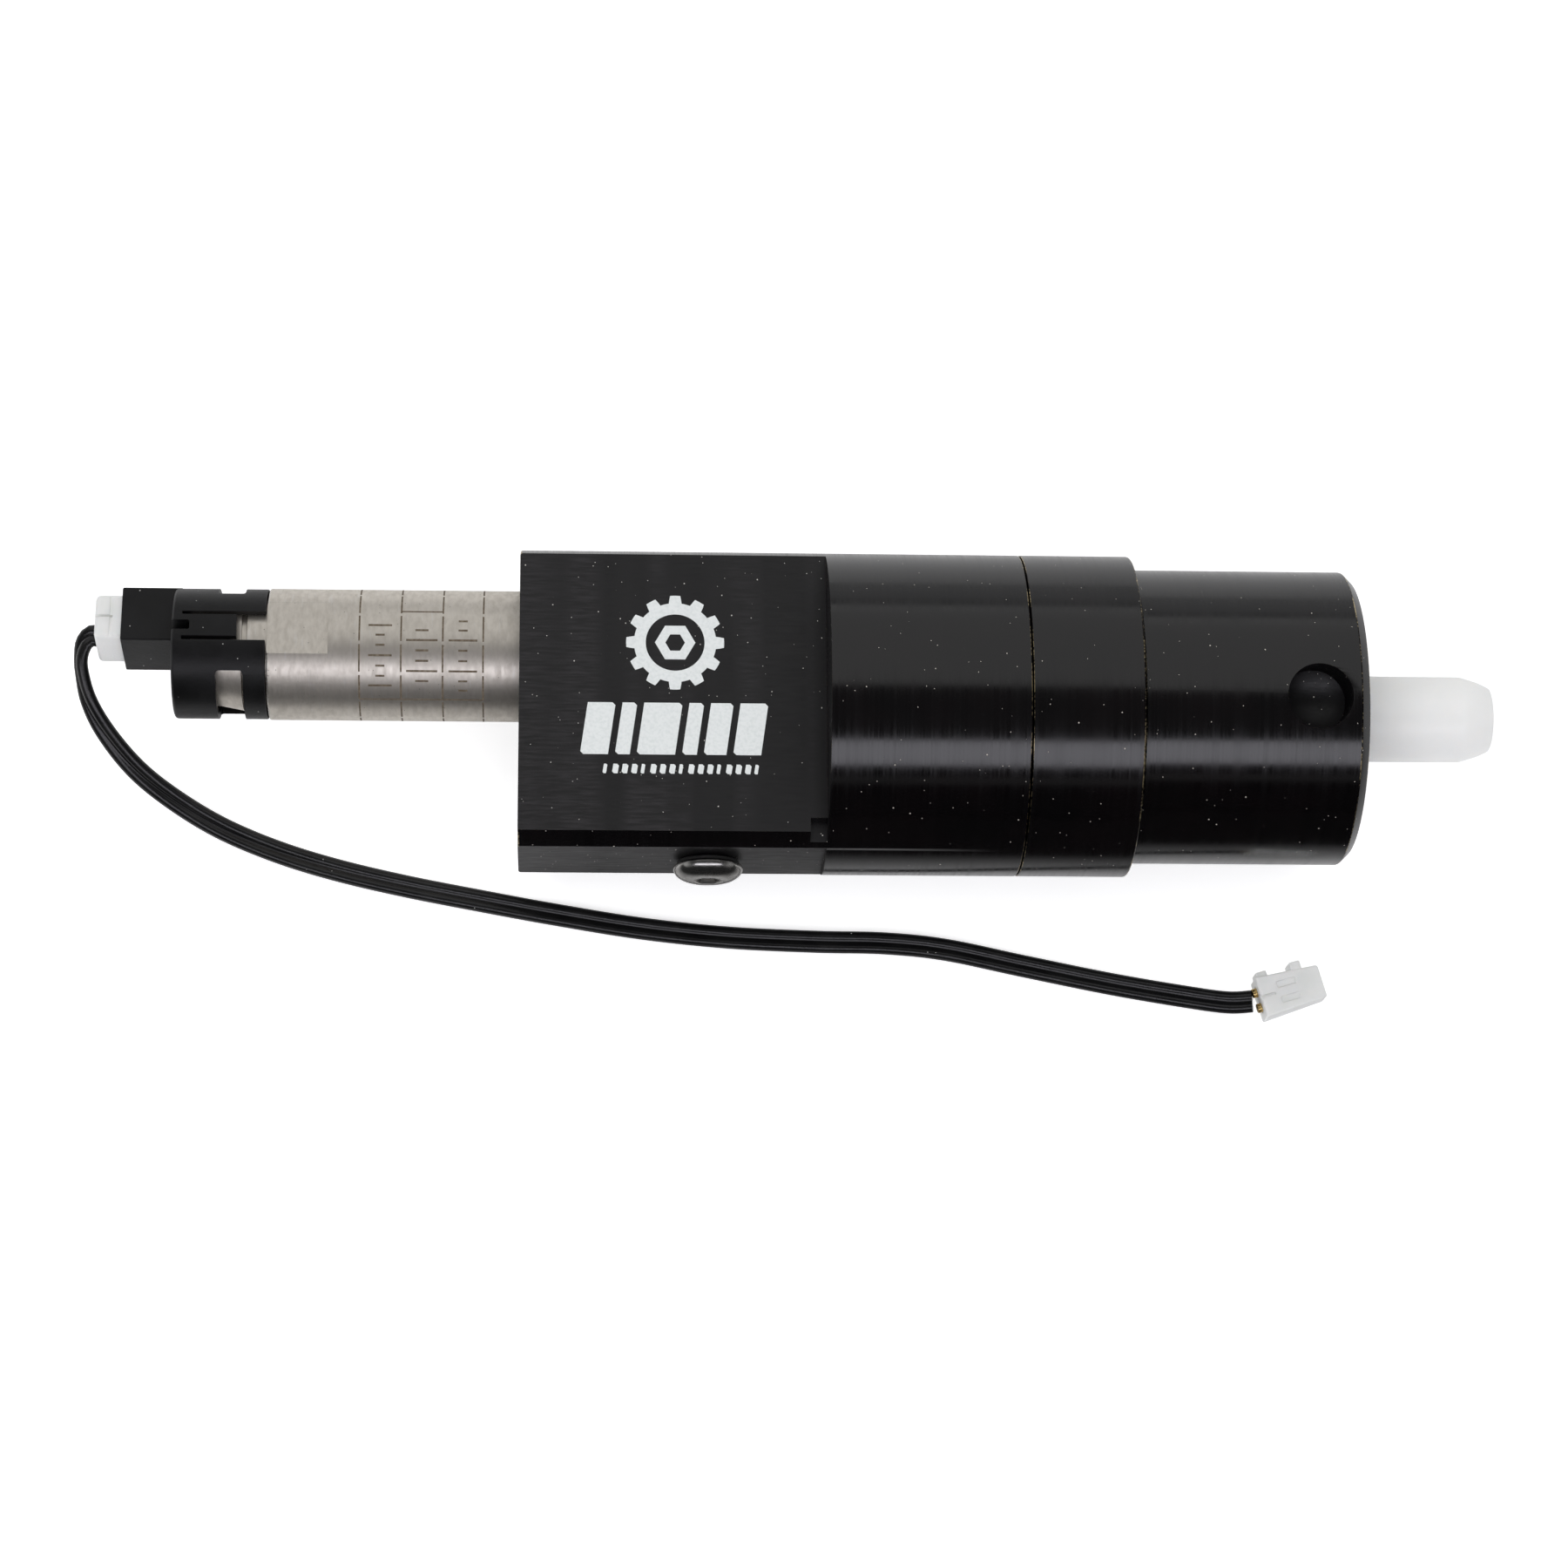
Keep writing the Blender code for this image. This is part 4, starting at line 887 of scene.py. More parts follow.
@dataclass(frozen=True)
class Studio:
    """Camera, floor, world and light panels."""

    target: Triple = (20.58, 0.0, 0.0)  # device millimetres
    drop: float = 5.44  # millimetres that the target is below the axis in the view
    distance: float = 328.0  # millimetres
    tilt: float = 15.0  # degrees that the view leans from straight down towards -Y
    yaw: float = 3.0
    roll: float = 0.45
    lens: float = 96.8
    clip: Pair = (0.01, 20.0)  # metres
    floor_side: float = 6.0  # metres
    floor_colours: tuple[Triple, Triple] = ((0.93, 0.93, 0.935), (0.95, 0.95, 0.95))
    unlit: Triple = (0.004, 0.004, 0.004)
    floor_glow: float = 0.60
    lit_edge: Pair = (-0.028, -0.014)  # metres; the reflected floor is dark in front of the first place
    dimmed: float = 0.5  # and as dark as this, from 0 to 1, behind the second
    sky: tuple[Pair, Pair] = ((0.20, 0.50), (0.45, 0.06))  # heights, and the strength at each
    front: tuple[Pair, Pair] = ((-0.75, -0.35), (0.03, 1.0))  # places along Y, and the share at each
    sky_colour: Triple = (0.98, 0.985, 1.0)
    panels: tuple[Panel, ...] = (
        Panel("rear_softbox", (0, 0.60, 0.80), 0.60, 1.10, 0.74, 0.51),
        Panel("front_strip", (0, -0.673, 0.740), 0.50, 0.80, 0.160, 2.10, colour=(0.93, 0.92, 1.0)),
        Panel("low_strip", (0, -0.885, 0.465), 0.50, 0.80, 0.045, 0.15),
        Panel("overhead", (-0.12, -0.05, 1.0), 0.80, 0.90, 0.90, 1.66, in_gloss=False),
    )

    def direction(self, degrees: float) -> Vector:
        """A direction across the X axis, leaning from +Z towards -Y."""
        lean = math.radians(degrees)
        return Vector((0, -math.sin(lean), math.cos(lean)))

    def camera(self, seats: Seats) -> None:
        """Sets up the camera.

        Args:
            seats: The device's frames.
        """
        away, above = self.direction(self.tilt), self.direction(self.tilt - 90)
        yaw, roll = math.radians(self.yaw), math.radians(self.roll)
        along = Vector((1, 0, 0))
        back = away * math.cos(yaw) - along * math.sin(yaw)
        right = along * math.cos(yaw) + away * math.sin(yaw)
        across = right * math.cos(roll) + above * math.sin(roll)
        up = above * math.cos(roll) - right * math.sin(roll)
        target = seats.origin + (Vector(self.target) - above * self.drop) * MM
        data = bpy.data.cameras.new("camera")
        data.lens, data.sensor_width = self.lens, 36.0
        data.clip_start, data.clip_end = self.clip
        camera = bpy.data.objects.new("camera", data)
        bpy.context.scene.collection.objects.link(camera)
        turn = Matrix((across, up, back)).transposed().to_4x4()
        camera.matrix_world = Matrix.Translation(target + back * self.distance * MM) @ turn
        bpy.context.scene.camera = camera

    def floor(self) -> None:
        """Lays the pale floor, which is partly dark in reflections so that the black bodies stay dark."""
        shape = bmesh.new()
        bmesh.ops.create_grid(shape, x_segments=1, y_segments=1, size=self.floor_side / 2)
        floor = bpy.data.objects.new("floor", mesh_from("floor", shape))
        bpy.context.scene.collection.objects.link(floor)
        shade = Shade("pale_floor", Roughness=0.75, Specular_IOR_Level=0.2)
        shade.shader.inputs["Emission Color"].default_value = (1, 1, 1, 1)
        across = shade.node("SeparateXYZ", {0: shade.coordinates}).outputs["Y"]
        dark = shade.span(across, *self.lit_edge, 1.0, self.dimmed)
        mirrored = shade.both(dark, shade.node("LightPath", {}).outputs["Is Glossy Ray"])
        pale = shade.mixed(shade.noise(3.0), *self.floor_colours)
        shade.colour(shade.mixed(mirrored, pale, self.unlit))
        glow = shade.span(mirrored, 0.0, 1.0, self.floor_glow, 0.0)
        shade.tree.links.new(glow, shade.shader.inputs["Emission Strength"])
        floor.data.materials.append(shade.material)

    def world(self) -> None:
        """Sets the surroundings: pale to the camera, and to the device dim above and dark in front."""
        world = bpy.data.worlds.new("studio")
        bpy.context.scene.world = world
        world.use_nodes = True
        tree = world.node_tree
        generated = add_node(tree, "TexCoord", {}).outputs["Generated"]
        place = add_node(tree, "SeparateXYZ", {0: generated}).outputs
        (low, high), (near_floor, overhead) = self.sky
        height = add_node(tree, "MapRange", {0: place["Z"], 1: low, 2: high, 3: near_floor, 4: overhead})
        (ahead, level), (darkest, full) = self.front
        share = add_node(tree, "MapRange", {0: place["Y"], 1: ahead, 2: level, 3: darkest, 4: full})
        product = {0: height.outputs[0], 1: share.outputs[0]}
        dim = add_node(tree, "Math", product, operation="MULTIPLY").outputs[0]
        direct = add_node(tree, "LightPath", {}).outputs["Is Camera Ray"]
        strength = add_node(tree, "Math", {0: dim, 1: direct}, operation="MAXIMUM").outputs[0]
        background = tree.nodes["Background"]
        background.inputs["Color"].default_value = (*self.sky_colour, 1.0)
        tree.links.new(strength, background.inputs["Strength"])

    def build(self, seats: Seats) -> None:
        """Builds the whole studio.

        Args:
            seats: The device's frames.
        """
        self.camera(seats)
        self.floor()
        self.world()
        for panel in self.panels:
            panel.build(seats.origin)
        bpy.context.scene.view_settings.view_transform = "Standard"


# The lead

LEAD_ROUTE = (  # x, y, height above the floor, and the pair's tilt in degrees from lying flat
    (-33.05, 6.6, 9.95, 0),
    (-33.45, 6.6, 9.93, 10),
    (-34.0, 6.15, 9.7, 40),
    (-34.28, 5.2, 9.3, 68),
    (-34.24, 4.0, 8.75, 75),
    (-33.7, 1.9, 7.7, 62),
    (-32.4, -0.3, 6.3, 46),
    (-30.2, -2.7, 4.6, 34),
    (-27.4, -4.7, 3.1, 26),
    (-23.7, -6.7, 1.8, 18),
    (-19.3, -8.4, 0.95, 10),
    (-14.5, -9.8, 0.55, 4),
    (-8.9, -11.1, 0.5, 0),
    (-2.7, -12.3, 0.5, 0),
    (2.8, -13.3, 0.5, 0),
    (9.7, -14.4, 0.5, 0),
    (16.6, -15.1, 0.5, 0),
    (23.6, -15.4, 0.5, 0),
    (29.1, -15.5, 0.5, 0),
    (34.0, -16.0, 0.5, 0),
    (40.2, -17.3, 0.5, 0),
    (47.1, -18.7, 0.5, 0),
    (53.0, -19.7, 0.5, 0),
    (56.4, -20.2, 0.7, 0),
    (58.35, -20.2, 1.15, 0),
)


@dataclass(frozen=True)
class Lead:
    """Two black wires bonded side by side, from the plug to the far connector."""

    seats: Seats
    lobe: float = 0.47  # radius of one wire's jacket
    width: float = 1.8
    lobe_steps: int = 16
    spacing: float = 0.35  # between sections
    length: float = 0.105  # metres

    def section(self) -> list[Pair]:
        """Draws the bonded pair's outline, like a soft figure of eight.

        Returns:
            Its points, in millimetres.
        """
        offset = self.width / 2 - self.lobe
        waist = math.acos(offset / self.lobe)
        first, last = -math.pi + waist, math.pi - waist
        outline = []
        for centre, turn in ((offset, 0.0), (-offset, math.pi)):
            for step in range(self.lobe_steps):
                angle = turn + first + (last - first) * (step + 0.5) / self.lobe_steps
                outline.append((centre + self.lobe * math.cos(angle), self.lobe * math.sin(angle)))
        return outline

    def route(self) -> list[tuple[Vector, float]]:
        """Runs a smooth curve through the route's points.

        Returns:
            Places on the centreline in metres, with the pair's tilt at each in radians.
        """
        below = Vector((self.seats.origin.x, self.seats.origin.y, 0))
        padded = [LEAD_ROUTE[0], *LEAD_ROUTE, LEAD_ROUTE[-1]]
        points = [LEAD_ROUTE[0]]
        for index, (start, end) in enumerate(zip(LEAD_ROUTE, LEAD_ROUTE[1:])):
            count = max(1, round((Vector(end[:3]) - Vector(start[:3])).length / self.spacing))
            window = padded[index : index + 4]
            for step in range(1, count + 1):
                t = step / count
                points.append(tuple(catmull(*values, t) for values in zip(*window)))
        return [(below + Vector(point[:3]) * MM, math.radians(point[3])) for point in points]

    def build(self) -> bpy.types.Object:
        """Sweeps the pair along its route.

        Returns:
            The swept pair.
        """
        route, outline = self.route(), self.section()
        shape = bmesh.new()
        rings = []
        for index, (point, tilt) in enumerate(route):
            before, after = route[max(0, index - 1)][0], route[min(len(route) - 1, index + 1)][0]
            along = (after - before).normalized()
            side = along.cross(Vector((0, 0, 1))).normalized()
            over = side.cross(along)
            wide = side * math.cos(tilt) - over * math.sin(tilt)
            high = over * math.cos(tilt) + side * math.sin(tilt)
            rings.append([shape.verts.new(point + (wide * u + high * v) * MM) for u, v in outline])
        for ring, following in zip(rings, rings[1:]):
            for step in range(len(outline)):
                turn = (step + 1) % len(outline)
                shape.faces.new((ring[step], ring[turn], following[turn], following[step]))
        shape.faces.new(rings[0])
        shape.faces.new(rings[-1])
        mesh = mesh_from("wire_pair", shape)
        mesh.materials.append(INSULATION.material())
        mesh.shade_smooth()
        mesh.set_sharp_from_angle(angle=math.radians(SMOOTH_WIRE))
        pair = bpy.data.objects.new("wire_pair", mesh)
        bpy.context.scene.collection.objects.link(pair)
        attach(pair, Body.LEAD.value)
        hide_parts("lead_wires")
        log.info("wire_pair: %d sections", len(rings))
        return pair


def catmull(before: float, start: float, end: float, after: float, t: float) -> float:
    """Finds a value of the smooth curve between two points.

    Args:
        before: The value before the stretch.
        start: The value where the stretch starts.
        end: The value where it ends.
        after: The value after the stretch.
        t: How far along the stretch, from 0 to 1.

    Returns:
        The value.
    """
    return 0.5 * (
        2 * start
        + (end - before) * t
        + (2 * before - 5 * start + 4 * end - after) * t**2
        + (3 * start - before - 3 * end + after) * t**3
    )


@dataclass(frozen=True)
class Contact:
    """A crimped contact: a rolled barrel with a seam, open at its front."""

    radius: float
    start: float
    end: float
    bore: float = 0.3
    bore_length: float = 2.5
    barrel: float = 1.1  # length of the crimped wings at the rear
    seam: float = 0.06  # width

    def build(self, name: str, node: str, seat: Matrix) -> bpy.types.Object:
        """Builds the contact.

        Args:
            name: The piece's name.
            node: The node that it stands for.
            seat: The frame on its own axis.

        Returns:
            The piece.
        """
        wing, wings, waist = self.start + self.barrel, self.radius * 0.92, self.radius * 0.72
        profile = [
            Stop(self.start, 0),
            Stop(self.start, wings, 0.06),
            Stop(wing - 0.15, wings),
            Stop(wing, waist),
            Stop(wing + 0.3, waist),
            Stop(wing + 0.45, self.radius, 0.04),
            Stop(self.end, self.radius, 0.04),
            Stop(self.end, self.bore, 0.03),
            Stop(self.end - self.bore_length, self.bore),
            Stop(self.end - self.bore_length, 0),
        ]
        blank = Blank(name, lathe(name, profile, SMALL), (BRASS,))
        half = self.seam / 2
        seam = block((wing + 0.4, -half, self.radius * 0.6), (self.end + 1, half, self.radius * 2))
        return blank.cut(seam).place(seat, Body.LEAD, (node,))


@dataclass(frozen=True)
class Header:
    """The header's shroud and pins in the solenoid's frame, which the plug, the case and the cap share."""

    across: Pair = (-0.15, 4.4)  # outer faces of the shroud along Y
    high: Pair = (-2.7, 2.65)  # outer faces of the shroud along Z
    rear: float = -30.8
    rows: Pair = (1.475, 2.725)  # places of the pins along Y
    level: float = -1.2  # height of the pins
    pin_hole: float = 0.3  # radius

    def drills(self, start: float, length: float) -> list[bpy.types.Mesh]:
        """Makes drills for the pins' holes, from a place along X."""
        return [drill((start, row, self.level), (1, 0, 0), self.pin_hole, length) for row in self.rows]


HEADER = Header()


@dataclass(frozen=True)
class Plug:
    """The natural nylon plug in the solenoid's header, with two contacts."""

    rear: float = -32.9
    front: float = -27.4
    edge: float = 0.42
    inset: float = 0.4  # from the shroud's outside to the plug
    pocket: float = 0.42  # radius of the openings for the wires
    groove: Pair = (0.22, 0.5)  # width and depth of the groove along the top
    cross_groove: Pair = (1.15, 0.16)  # distance from the rear and depth of the groove across the top
    groove_end: float = 1.4  # distance from the rear where both grooves end
    contact_length: float = 4.2

    def housing(self) -> Blank:
        """Moulds the housing.

        Returns:
            The housing, on the bench.
        """
        low = (self.rear, HEADER.across[0] + self.inset, HEADER.high[0] + self.inset)
        high = (self.front, HEADER.across[1] - self.inset, HEADER.high[1] - self.inset)
        length = self.front - self.rear + 2
        tools = [
            drill((self.rear - 1, row, HEADER.level), (1, 0, 0), self.pocket, length) for row in HEADER.rows
        ]
        middle, top = (low[1] + high[1]) / 2, high[2]
        width, depth = self.groove
        left, right = middle - width / 2, middle + width / 2
        end = self.rear + self.groove_end
        tools.append(block((self.rear - 1, left, top - depth), (end, right, FAR)))
        start, depth = self.cross_groove
        tools.append(block((self.rear + start, low[1] - 1, top - depth), (end, high[1] + 1, FAR)))
        blank = Blank("lead_plug", block(low, high, self.edge, steps=3), MOULDED_WHITE)
        return blank.cut(*tools).break_edges(0.05)

    def build(self, seats: Seats) -> list[bpy.types.Object]:
        """Builds the plug and its contacts.

        Args:
            seats: The device's frames.

        Returns:
            The pieces.
        """
        made = [self.housing().place(seats.solenoid, Body.LEAD, ("plug_housing",))]
        start = self.rear + 0.3
        for index, row in enumerate(HEADER.rows, 1):
            seat = seats.solenoid @ Matrix.Translation(Vector((0, row, HEADER.level)) * MM)
            contact = Contact(0.45, start, start + self.contact_length)
            made.append(contact.build(f"plug_terminal_{index}", f"plug_contact_{index}", seat))
        return made


@dataclass(frozen=True)
class FarConnector:
    """The natural nylon connector at the lead's far end, lying on the floor."""

    rear: Triple = (58.85, -20.15, -11.15)  # in the device's frame
    turn: float = 16.0  # degrees
    length: float = 5.2
    width: float = 3.3
    thickness: float = 2.6
    nose: Pair = (1.1, 0.35)  # length of the tapered front, and how far each side tapers
    latch: Triple = (0.9, 2.0, 0.45)  # length, width and height of the block near the front
    lug: Triple = (0.9, 1.8, 0.4)  # and of the one near the rear
    gap: float = 0.2  # from the latch to the taper and from the lug to the rear
    pitch: float = 1.25
    pocket: float = 0.45  # radius of the openings for the wires
    window: Pair = (1.5, 3.1)  # where the openings over the contacts start and end
    groove: Pair = (0.22, 1.2)  # width and length of the groove at the rear

    def housing(self) -> bpy.types.Mesh:
        """Moulds the body: a rounded box whose front tapers.

        Returns:
            The mesh.
        """
        half_wide, half_high = self.width / 2, self.thickness / 2
        mesh = block((0, -half_wide, -half_high), (self.length, half_wide, half_high), 0.16, steps=3)
        taper, inset = self.nose
        start = self.length - taper
        for vertex in mesh.vertices:
            share = max(0.0, (vertex.co.x - start) / taper)
            vertex.co.y *= 1 - share * inset / half_wide
            vertex.co.z *= 1 - share * inset / half_high
        return mesh

    def side_block(self, start: float, size: Triple) -> bpy.types.Mesh:
        """Moulds a rounded block on the connector's +Y side.

        Args:
            start: Where it starts.
            size: Its length, width and height.

        Returns:
            The mesh.
        """
        length, width, height = size
        side = self.width / 2
        low, high = (start, side - 0.3, -width / 2), (start + length, side + height, width / 2)
        return block(low, high, 0.1, steps=2)

    def openings(self, rows: Pair) -> list[bpy.types.Mesh]:
        """Makes cutters for the wires' openings, the windows over the contacts and the rear groove.

        Args:
            rows: Places of the two contacts along Y.

        Returns:
            The cutters.
        """
        top = self.thickness / 2
        start, end = self.window
        tools = [drill((-1, row, 0), (1, 0, 0), self.pocket, self.length + 2) for row in rows]
        for row in rows:
            tools.append(block((start, row - 0.28, top - 0.32), (end, row + 0.28, top + 1), 0.08))
        width, length = self.groove
        tools.append(block((-1, -width / 2, top - 0.3), (length, width / 2, top + 1)))
        return tools

    def build(self, seats: Seats) -> list[bpy.types.Object]:
        """Builds the connector and its contacts.

        Args:
            seats: The device's frames.

        Returns:
            The pieces.
        """
        turn = Matrix.Rotation(math.radians(self.turn), 4, "Z")
        seat = seats.device @ Matrix.Translation(Vector(self.rear) * MM) @ turn
        latch_start = self.length - self.nose[0] - self.latch[0] - self.gap
        blank = Blank("far_connector", self.housing(), MOULDED_WHITE)
        blank.join(self.side_block(latch_start, self.latch)).join(self.side_block(self.gap, self.lug))
        rows = (-self.pitch / 2, self.pitch / 2)
        blank.cut(*self.openings(rows)).break_edges(0.05)
        made = [blank.place(seat, Body.LEAD, ("connector_housing",))]
        for index, row in enumerate(rows, 1):
            contact = Contact(0.4, -0.35, self.length - 0.9)
            contact_seat = seat @ Matrix.Translation(Vector((0, row, 0)) * MM)
            made.append(contact.build(f"far_terminal_{index}", f"connector_contact_{index}", contact_seat))
        return made


# The black turned bodies


@dataclass(frozen=True)
class ValveBlock:
    """The round block with its wide printed flat and its narrow flat."""

    radius: float = 12.5
    length: float = 38.6
    flat_length: float = 23.5
    top_flat: float = 6.0
    side_flat: float = 11.8
    notch: Pair = (1.3, 1.1)  # length and height of the small step beside the wide flat
    can_bore: float = 5.2
    can_depth: float = 20.0
    spigot_bore: float = 10.5
    spigot_x: float = 33.0
    chamber_bore: float = 8.25
    chamber_x: float = 28.0
    inlet: Triple = (-6.6, -1.5, 2.1)  # y, z, radius
    inlet_depth: float = 18.0
    port: float = 1.25  # radius of the passages
    valve_seat: float = 1.7  # radius of the hole into the chamber
    screw: Pair = (14.6, 1.52)  # place along the axis and radius of the screw's hole
    tap_end: float = 8.9  # distance from the axis where the screw's hole ends
    thread_start: float = 0.35
    pitch: float = 0.8
    turns: int = 12
    thread_depth: float = 0.22

    def turned(self) -> Blank:
        """Turns the block.

        Returns:
            The block, on the bench.
        """
        edge, cut = 0.22, Skin.CUT
        profile = [
            Stop(0, 0, skin=cut),
            Stop(0, self.radius, edge),
            Stop(self.length, self.radius, 0.12, cut),
            Stop(self.length, self.spigot_bore, 0.1, cut),
            Stop(self.spigot_x, self.spigot_bore, skin=cut),
            Stop(self.spigot_x, self.chamber_bore, skin=cut),
            Stop(self.chamber_x, self.chamber_bore, skin=cut),
            Stop(self.chamber_x, 0),
        ]
        return Blank("block_body", lathe("block_body", profile, FINE), ANODISED)

    def flats(self) -> list[bpy.types.Mesh]:
        """Makes cutters for the two flats and the small step beside the wide one.

        Returns:
            The cutters.
        """
        far = 2 * self.radius
        length, height = self.notch
        corner = -math.sqrt(self.radius**2 - self.top_flat**2)
        start, top = self.flat_length - length, self.top_flat
        return [
            block((-1, -far, top), (self.flat_length, far, far)),
            block((-1, -far, -far), (self.flat_length, -self.side_flat, far)),
            block((start, -far, top - height), (self.flat_length, corner + height, far)),
        ]

    def holes(self, offset: Vector) -> list[bpy.types.Mesh]:
        """Makes drills for the solenoid's bore, the inlet, the passages and the screw's hole.

        Args:
            offset: From the device's axis to the solenoid's.

        Returns:
            The drills.
        """
        y, z, radius = self.inlet
        x, screw = self.screw
        outside = self.side_flat + 1
        port_length = self.chamber_x - self.can_depth + 2
        return [
            drill((-1, offset.y, offset.z), (1, 0, 0), self.can_bore, self.can_depth + 1),
            drill((self.can_depth - 1, offset.y, offset.z), (1, 0, 0), self.port, port_length),
            drill((-1, y, z), (1, 0, 0), radius, self.inlet_depth, radius / 2),
            drill((x, -outside, 0), (0, 1, 0), screw, outside - self.tap_end),
            drill((x, -self.tap_end - 0.5, 0), (0, 1, 0), self.port, self.tap_end + 0.5),
            drill((self.chamber_x - 4.0, 0, 0), (1, 0, 0), self.valve_seat, 5.0),
        ]

    def thread(self) -> Blank:
        """Cuts the inlet's thread, as rings in the first stretch of its bore.

        Returns:
            The thread about its own axis, on the bench.
        """
        radius = self.inlet[2]
        root, crest, outside = radius - 0.04, radius - self.thread_depth, radius - 0.01
        first = self.thread_start + 0.05
        profile = [Stop(self.thread_start, root)]
        for turn in range(self.turns):
            x = first + turn * self.pitch
            profile += [Stop(x + self.pitch / 2, crest), Stop(x + self.pitch, root)]
        profile += [Stop(first + self.turns * self.pitch, outside), Stop(self.thread_start, outside)]
        return Blank("inlet_thread", lathe("inlet_thread", profile, SMALL), (SATIN_BLACK,))

    def build(self, seats: Seats) -> None:
        """Builds the block and its inlet thread.

        Args:
            seats: The device's frames.
        """
        blank = self.turned().cut(*self.flats())
        for tool in self.holes(seats.offset):
            blank.cut(tool)
        blank.break_edges(0.055).place(seats.device, Body.ACTUATOR, ("valve_block",))
        y, z, _ = self.inlet
        self.thread().place(seats.device @ Matrix.Translation(Vector((0, y, z)) * MM), Body.ACTUATOR)


@dataclass(frozen=True)
class FlatPrint:
    """White geometric print on the wide flat: a toothed ring over a row of slanted bars and fine ticks."""

    level: float = 6.0  # height of the flat above the axis
    ink: float = 0.012  # how far the ink stands above the flat
    sunk: float = 0.01  # how far it reaches below it
    ring_centre: Pair = (11.9, 3.9)
    teeth: int = 12
    ring: Triple = (3.75, 3.15, 2.25)  # radius at the teeth, between them, and inside
    ring_points: int = 240
    hexagon: Pair = (1.55, 0.75)  # radius at its outer and inner corners
    bars: tuple[float, ...] = (2.1, 1.1, 2.9, 1.1, 1.7, 2.1)  # widths
    bar_rows: Pair = (-5.0, -0.9)
    slant: float = 0.55  # how far a full bar leans along X
    bar_gap: float = 0.55
    first_bar: float = 4.7
    ticks: int = 17
    tick_start: float = 6.4
    tick_pitch: float = 0.72
    tick_rows: Pair = (-6.5, -5.75)
    tick_widths: Pair = (0.42, 0.26)  # of most ticks and of every fourth

    def band(self, shape: bmesh.types.BMesh, outer: Sequence[Pair], inner: Sequence[Pair]) -> None:
        """Lays a ring of ink between two outlines.

        Args:
            shape: The print.
            outer: The outer outline.
            inner: The inner outline, with the same number of points.
        """
        loops = [
            [shape.verts.new((x, y, z)) for x, y in outline]
            for z in (self.level - self.sunk, self.level + self.ink)
            for outline in (outer, inner)
        ]
        low_out, low_in, top_out, top_in = loops
        count = len(outer)
        walls = ((low_out, top_out), (top_out, top_in), (top_in, low_in), (low_in, low_out))
        for step in range(count):
            turn = (step + 1) % count
            for first, second in walls:
                shape.faces.new((first[step], first[turn], second[turn], second[step]))

    def patch(self, shape: bmesh.types.BMesh, outline: Sequence[Pair]) -> None:
        """Lays a patch of ink.

        Args:
            shape: The print.
            outline: The patch's outline.
        """
        levels = (self.level - self.sunk, self.level + self.ink)
        low, top = ([shape.verts.new((x, y, z)) for x, y in outline] for z in levels)
        shape.faces.new(low)
        shape.faces.new(top)
        for step in range(len(outline)):
            turn = (step + 1) % len(outline)
            shape.faces.new((low[step], low[turn], top[turn], top[step]))

    def circle(self, count: int, radius: Callable[[float], float]) -> list[Pair]:
        """Sets points round the ring's centre.

        Args:
            count: How many.
            radius: Their radius, from their angle.

        Returns:
            The points.
        """
        x, y = self.ring_centre
        angles = [math.tau * step / count for step in range(count)]
        return [(x + radius(a) * math.cos(a), y + radius(a) * math.sin(a)) for a in angles]

    def tooth(self, angle: float) -> float:
        """Finds the toothed ring's radius, whose teeth come from a clipped cosine.

        Args:
            angle: The place round the ring, in radians.

        Returns:
            The radius.
        """
        share = 0.5 + 2.2 * math.cos(angle * self.teeth)
        high, low, _ = self.ring
        return low + (high - low) * min(1.0, max(0.0, share))

    def bar(self, start: float, width: float, rows: Pair) -> list[Pair]:
        """Draws a slanted bar with two clipped corners.

        Args:
            start: Where it starts along X.
            width: Its width.
            rows: The lower and upper places of its ends along Y.

        Returns:
            Its outline.
        """
        low, high = rows
        lean = self.slant * (high - low) / (self.bar_rows[1] - self.bar_rows[0])
        clip = min(0.22, width / 3)
        return [
            (start + clip, low),
            (start + width, low),
            (start + width + lean, high - clip),
            (start + width + lean - clip, high),
            (start + lean, high),
            (start, low + clip),
        ]

    def build(self, seats: Seats) -> None:
        """Builds the print.

        Args:
            seats: The device's frames.
        """
        shape = bmesh.new()
        count = self.ring_points
        self.band(shape, self.circle(count, self.tooth), self.circle(count, lambda angle: self.ring[2]))
        outer, inner = self.hexagon
        self.band(shape, self.circle(6, lambda angle: outer), self.circle(6, lambda angle: inner))
        start = self.first_bar
        for width in self.bars:
            self.patch(shape, self.bar(start, width, self.bar_rows))
            start += width + self.bar_gap
        for tick in range(self.ticks):
            width = self.tick_widths[0 if tick % 4 else 1]
            self.patch(shape, self.bar(self.tick_start + tick * self.tick_pitch, width, self.tick_rows))
        blank = Blank("flat_print", mesh_from("flat_print", shape), (WHITE_PRINT,))
        blank.place(seats.device, Body.ACTUATOR)


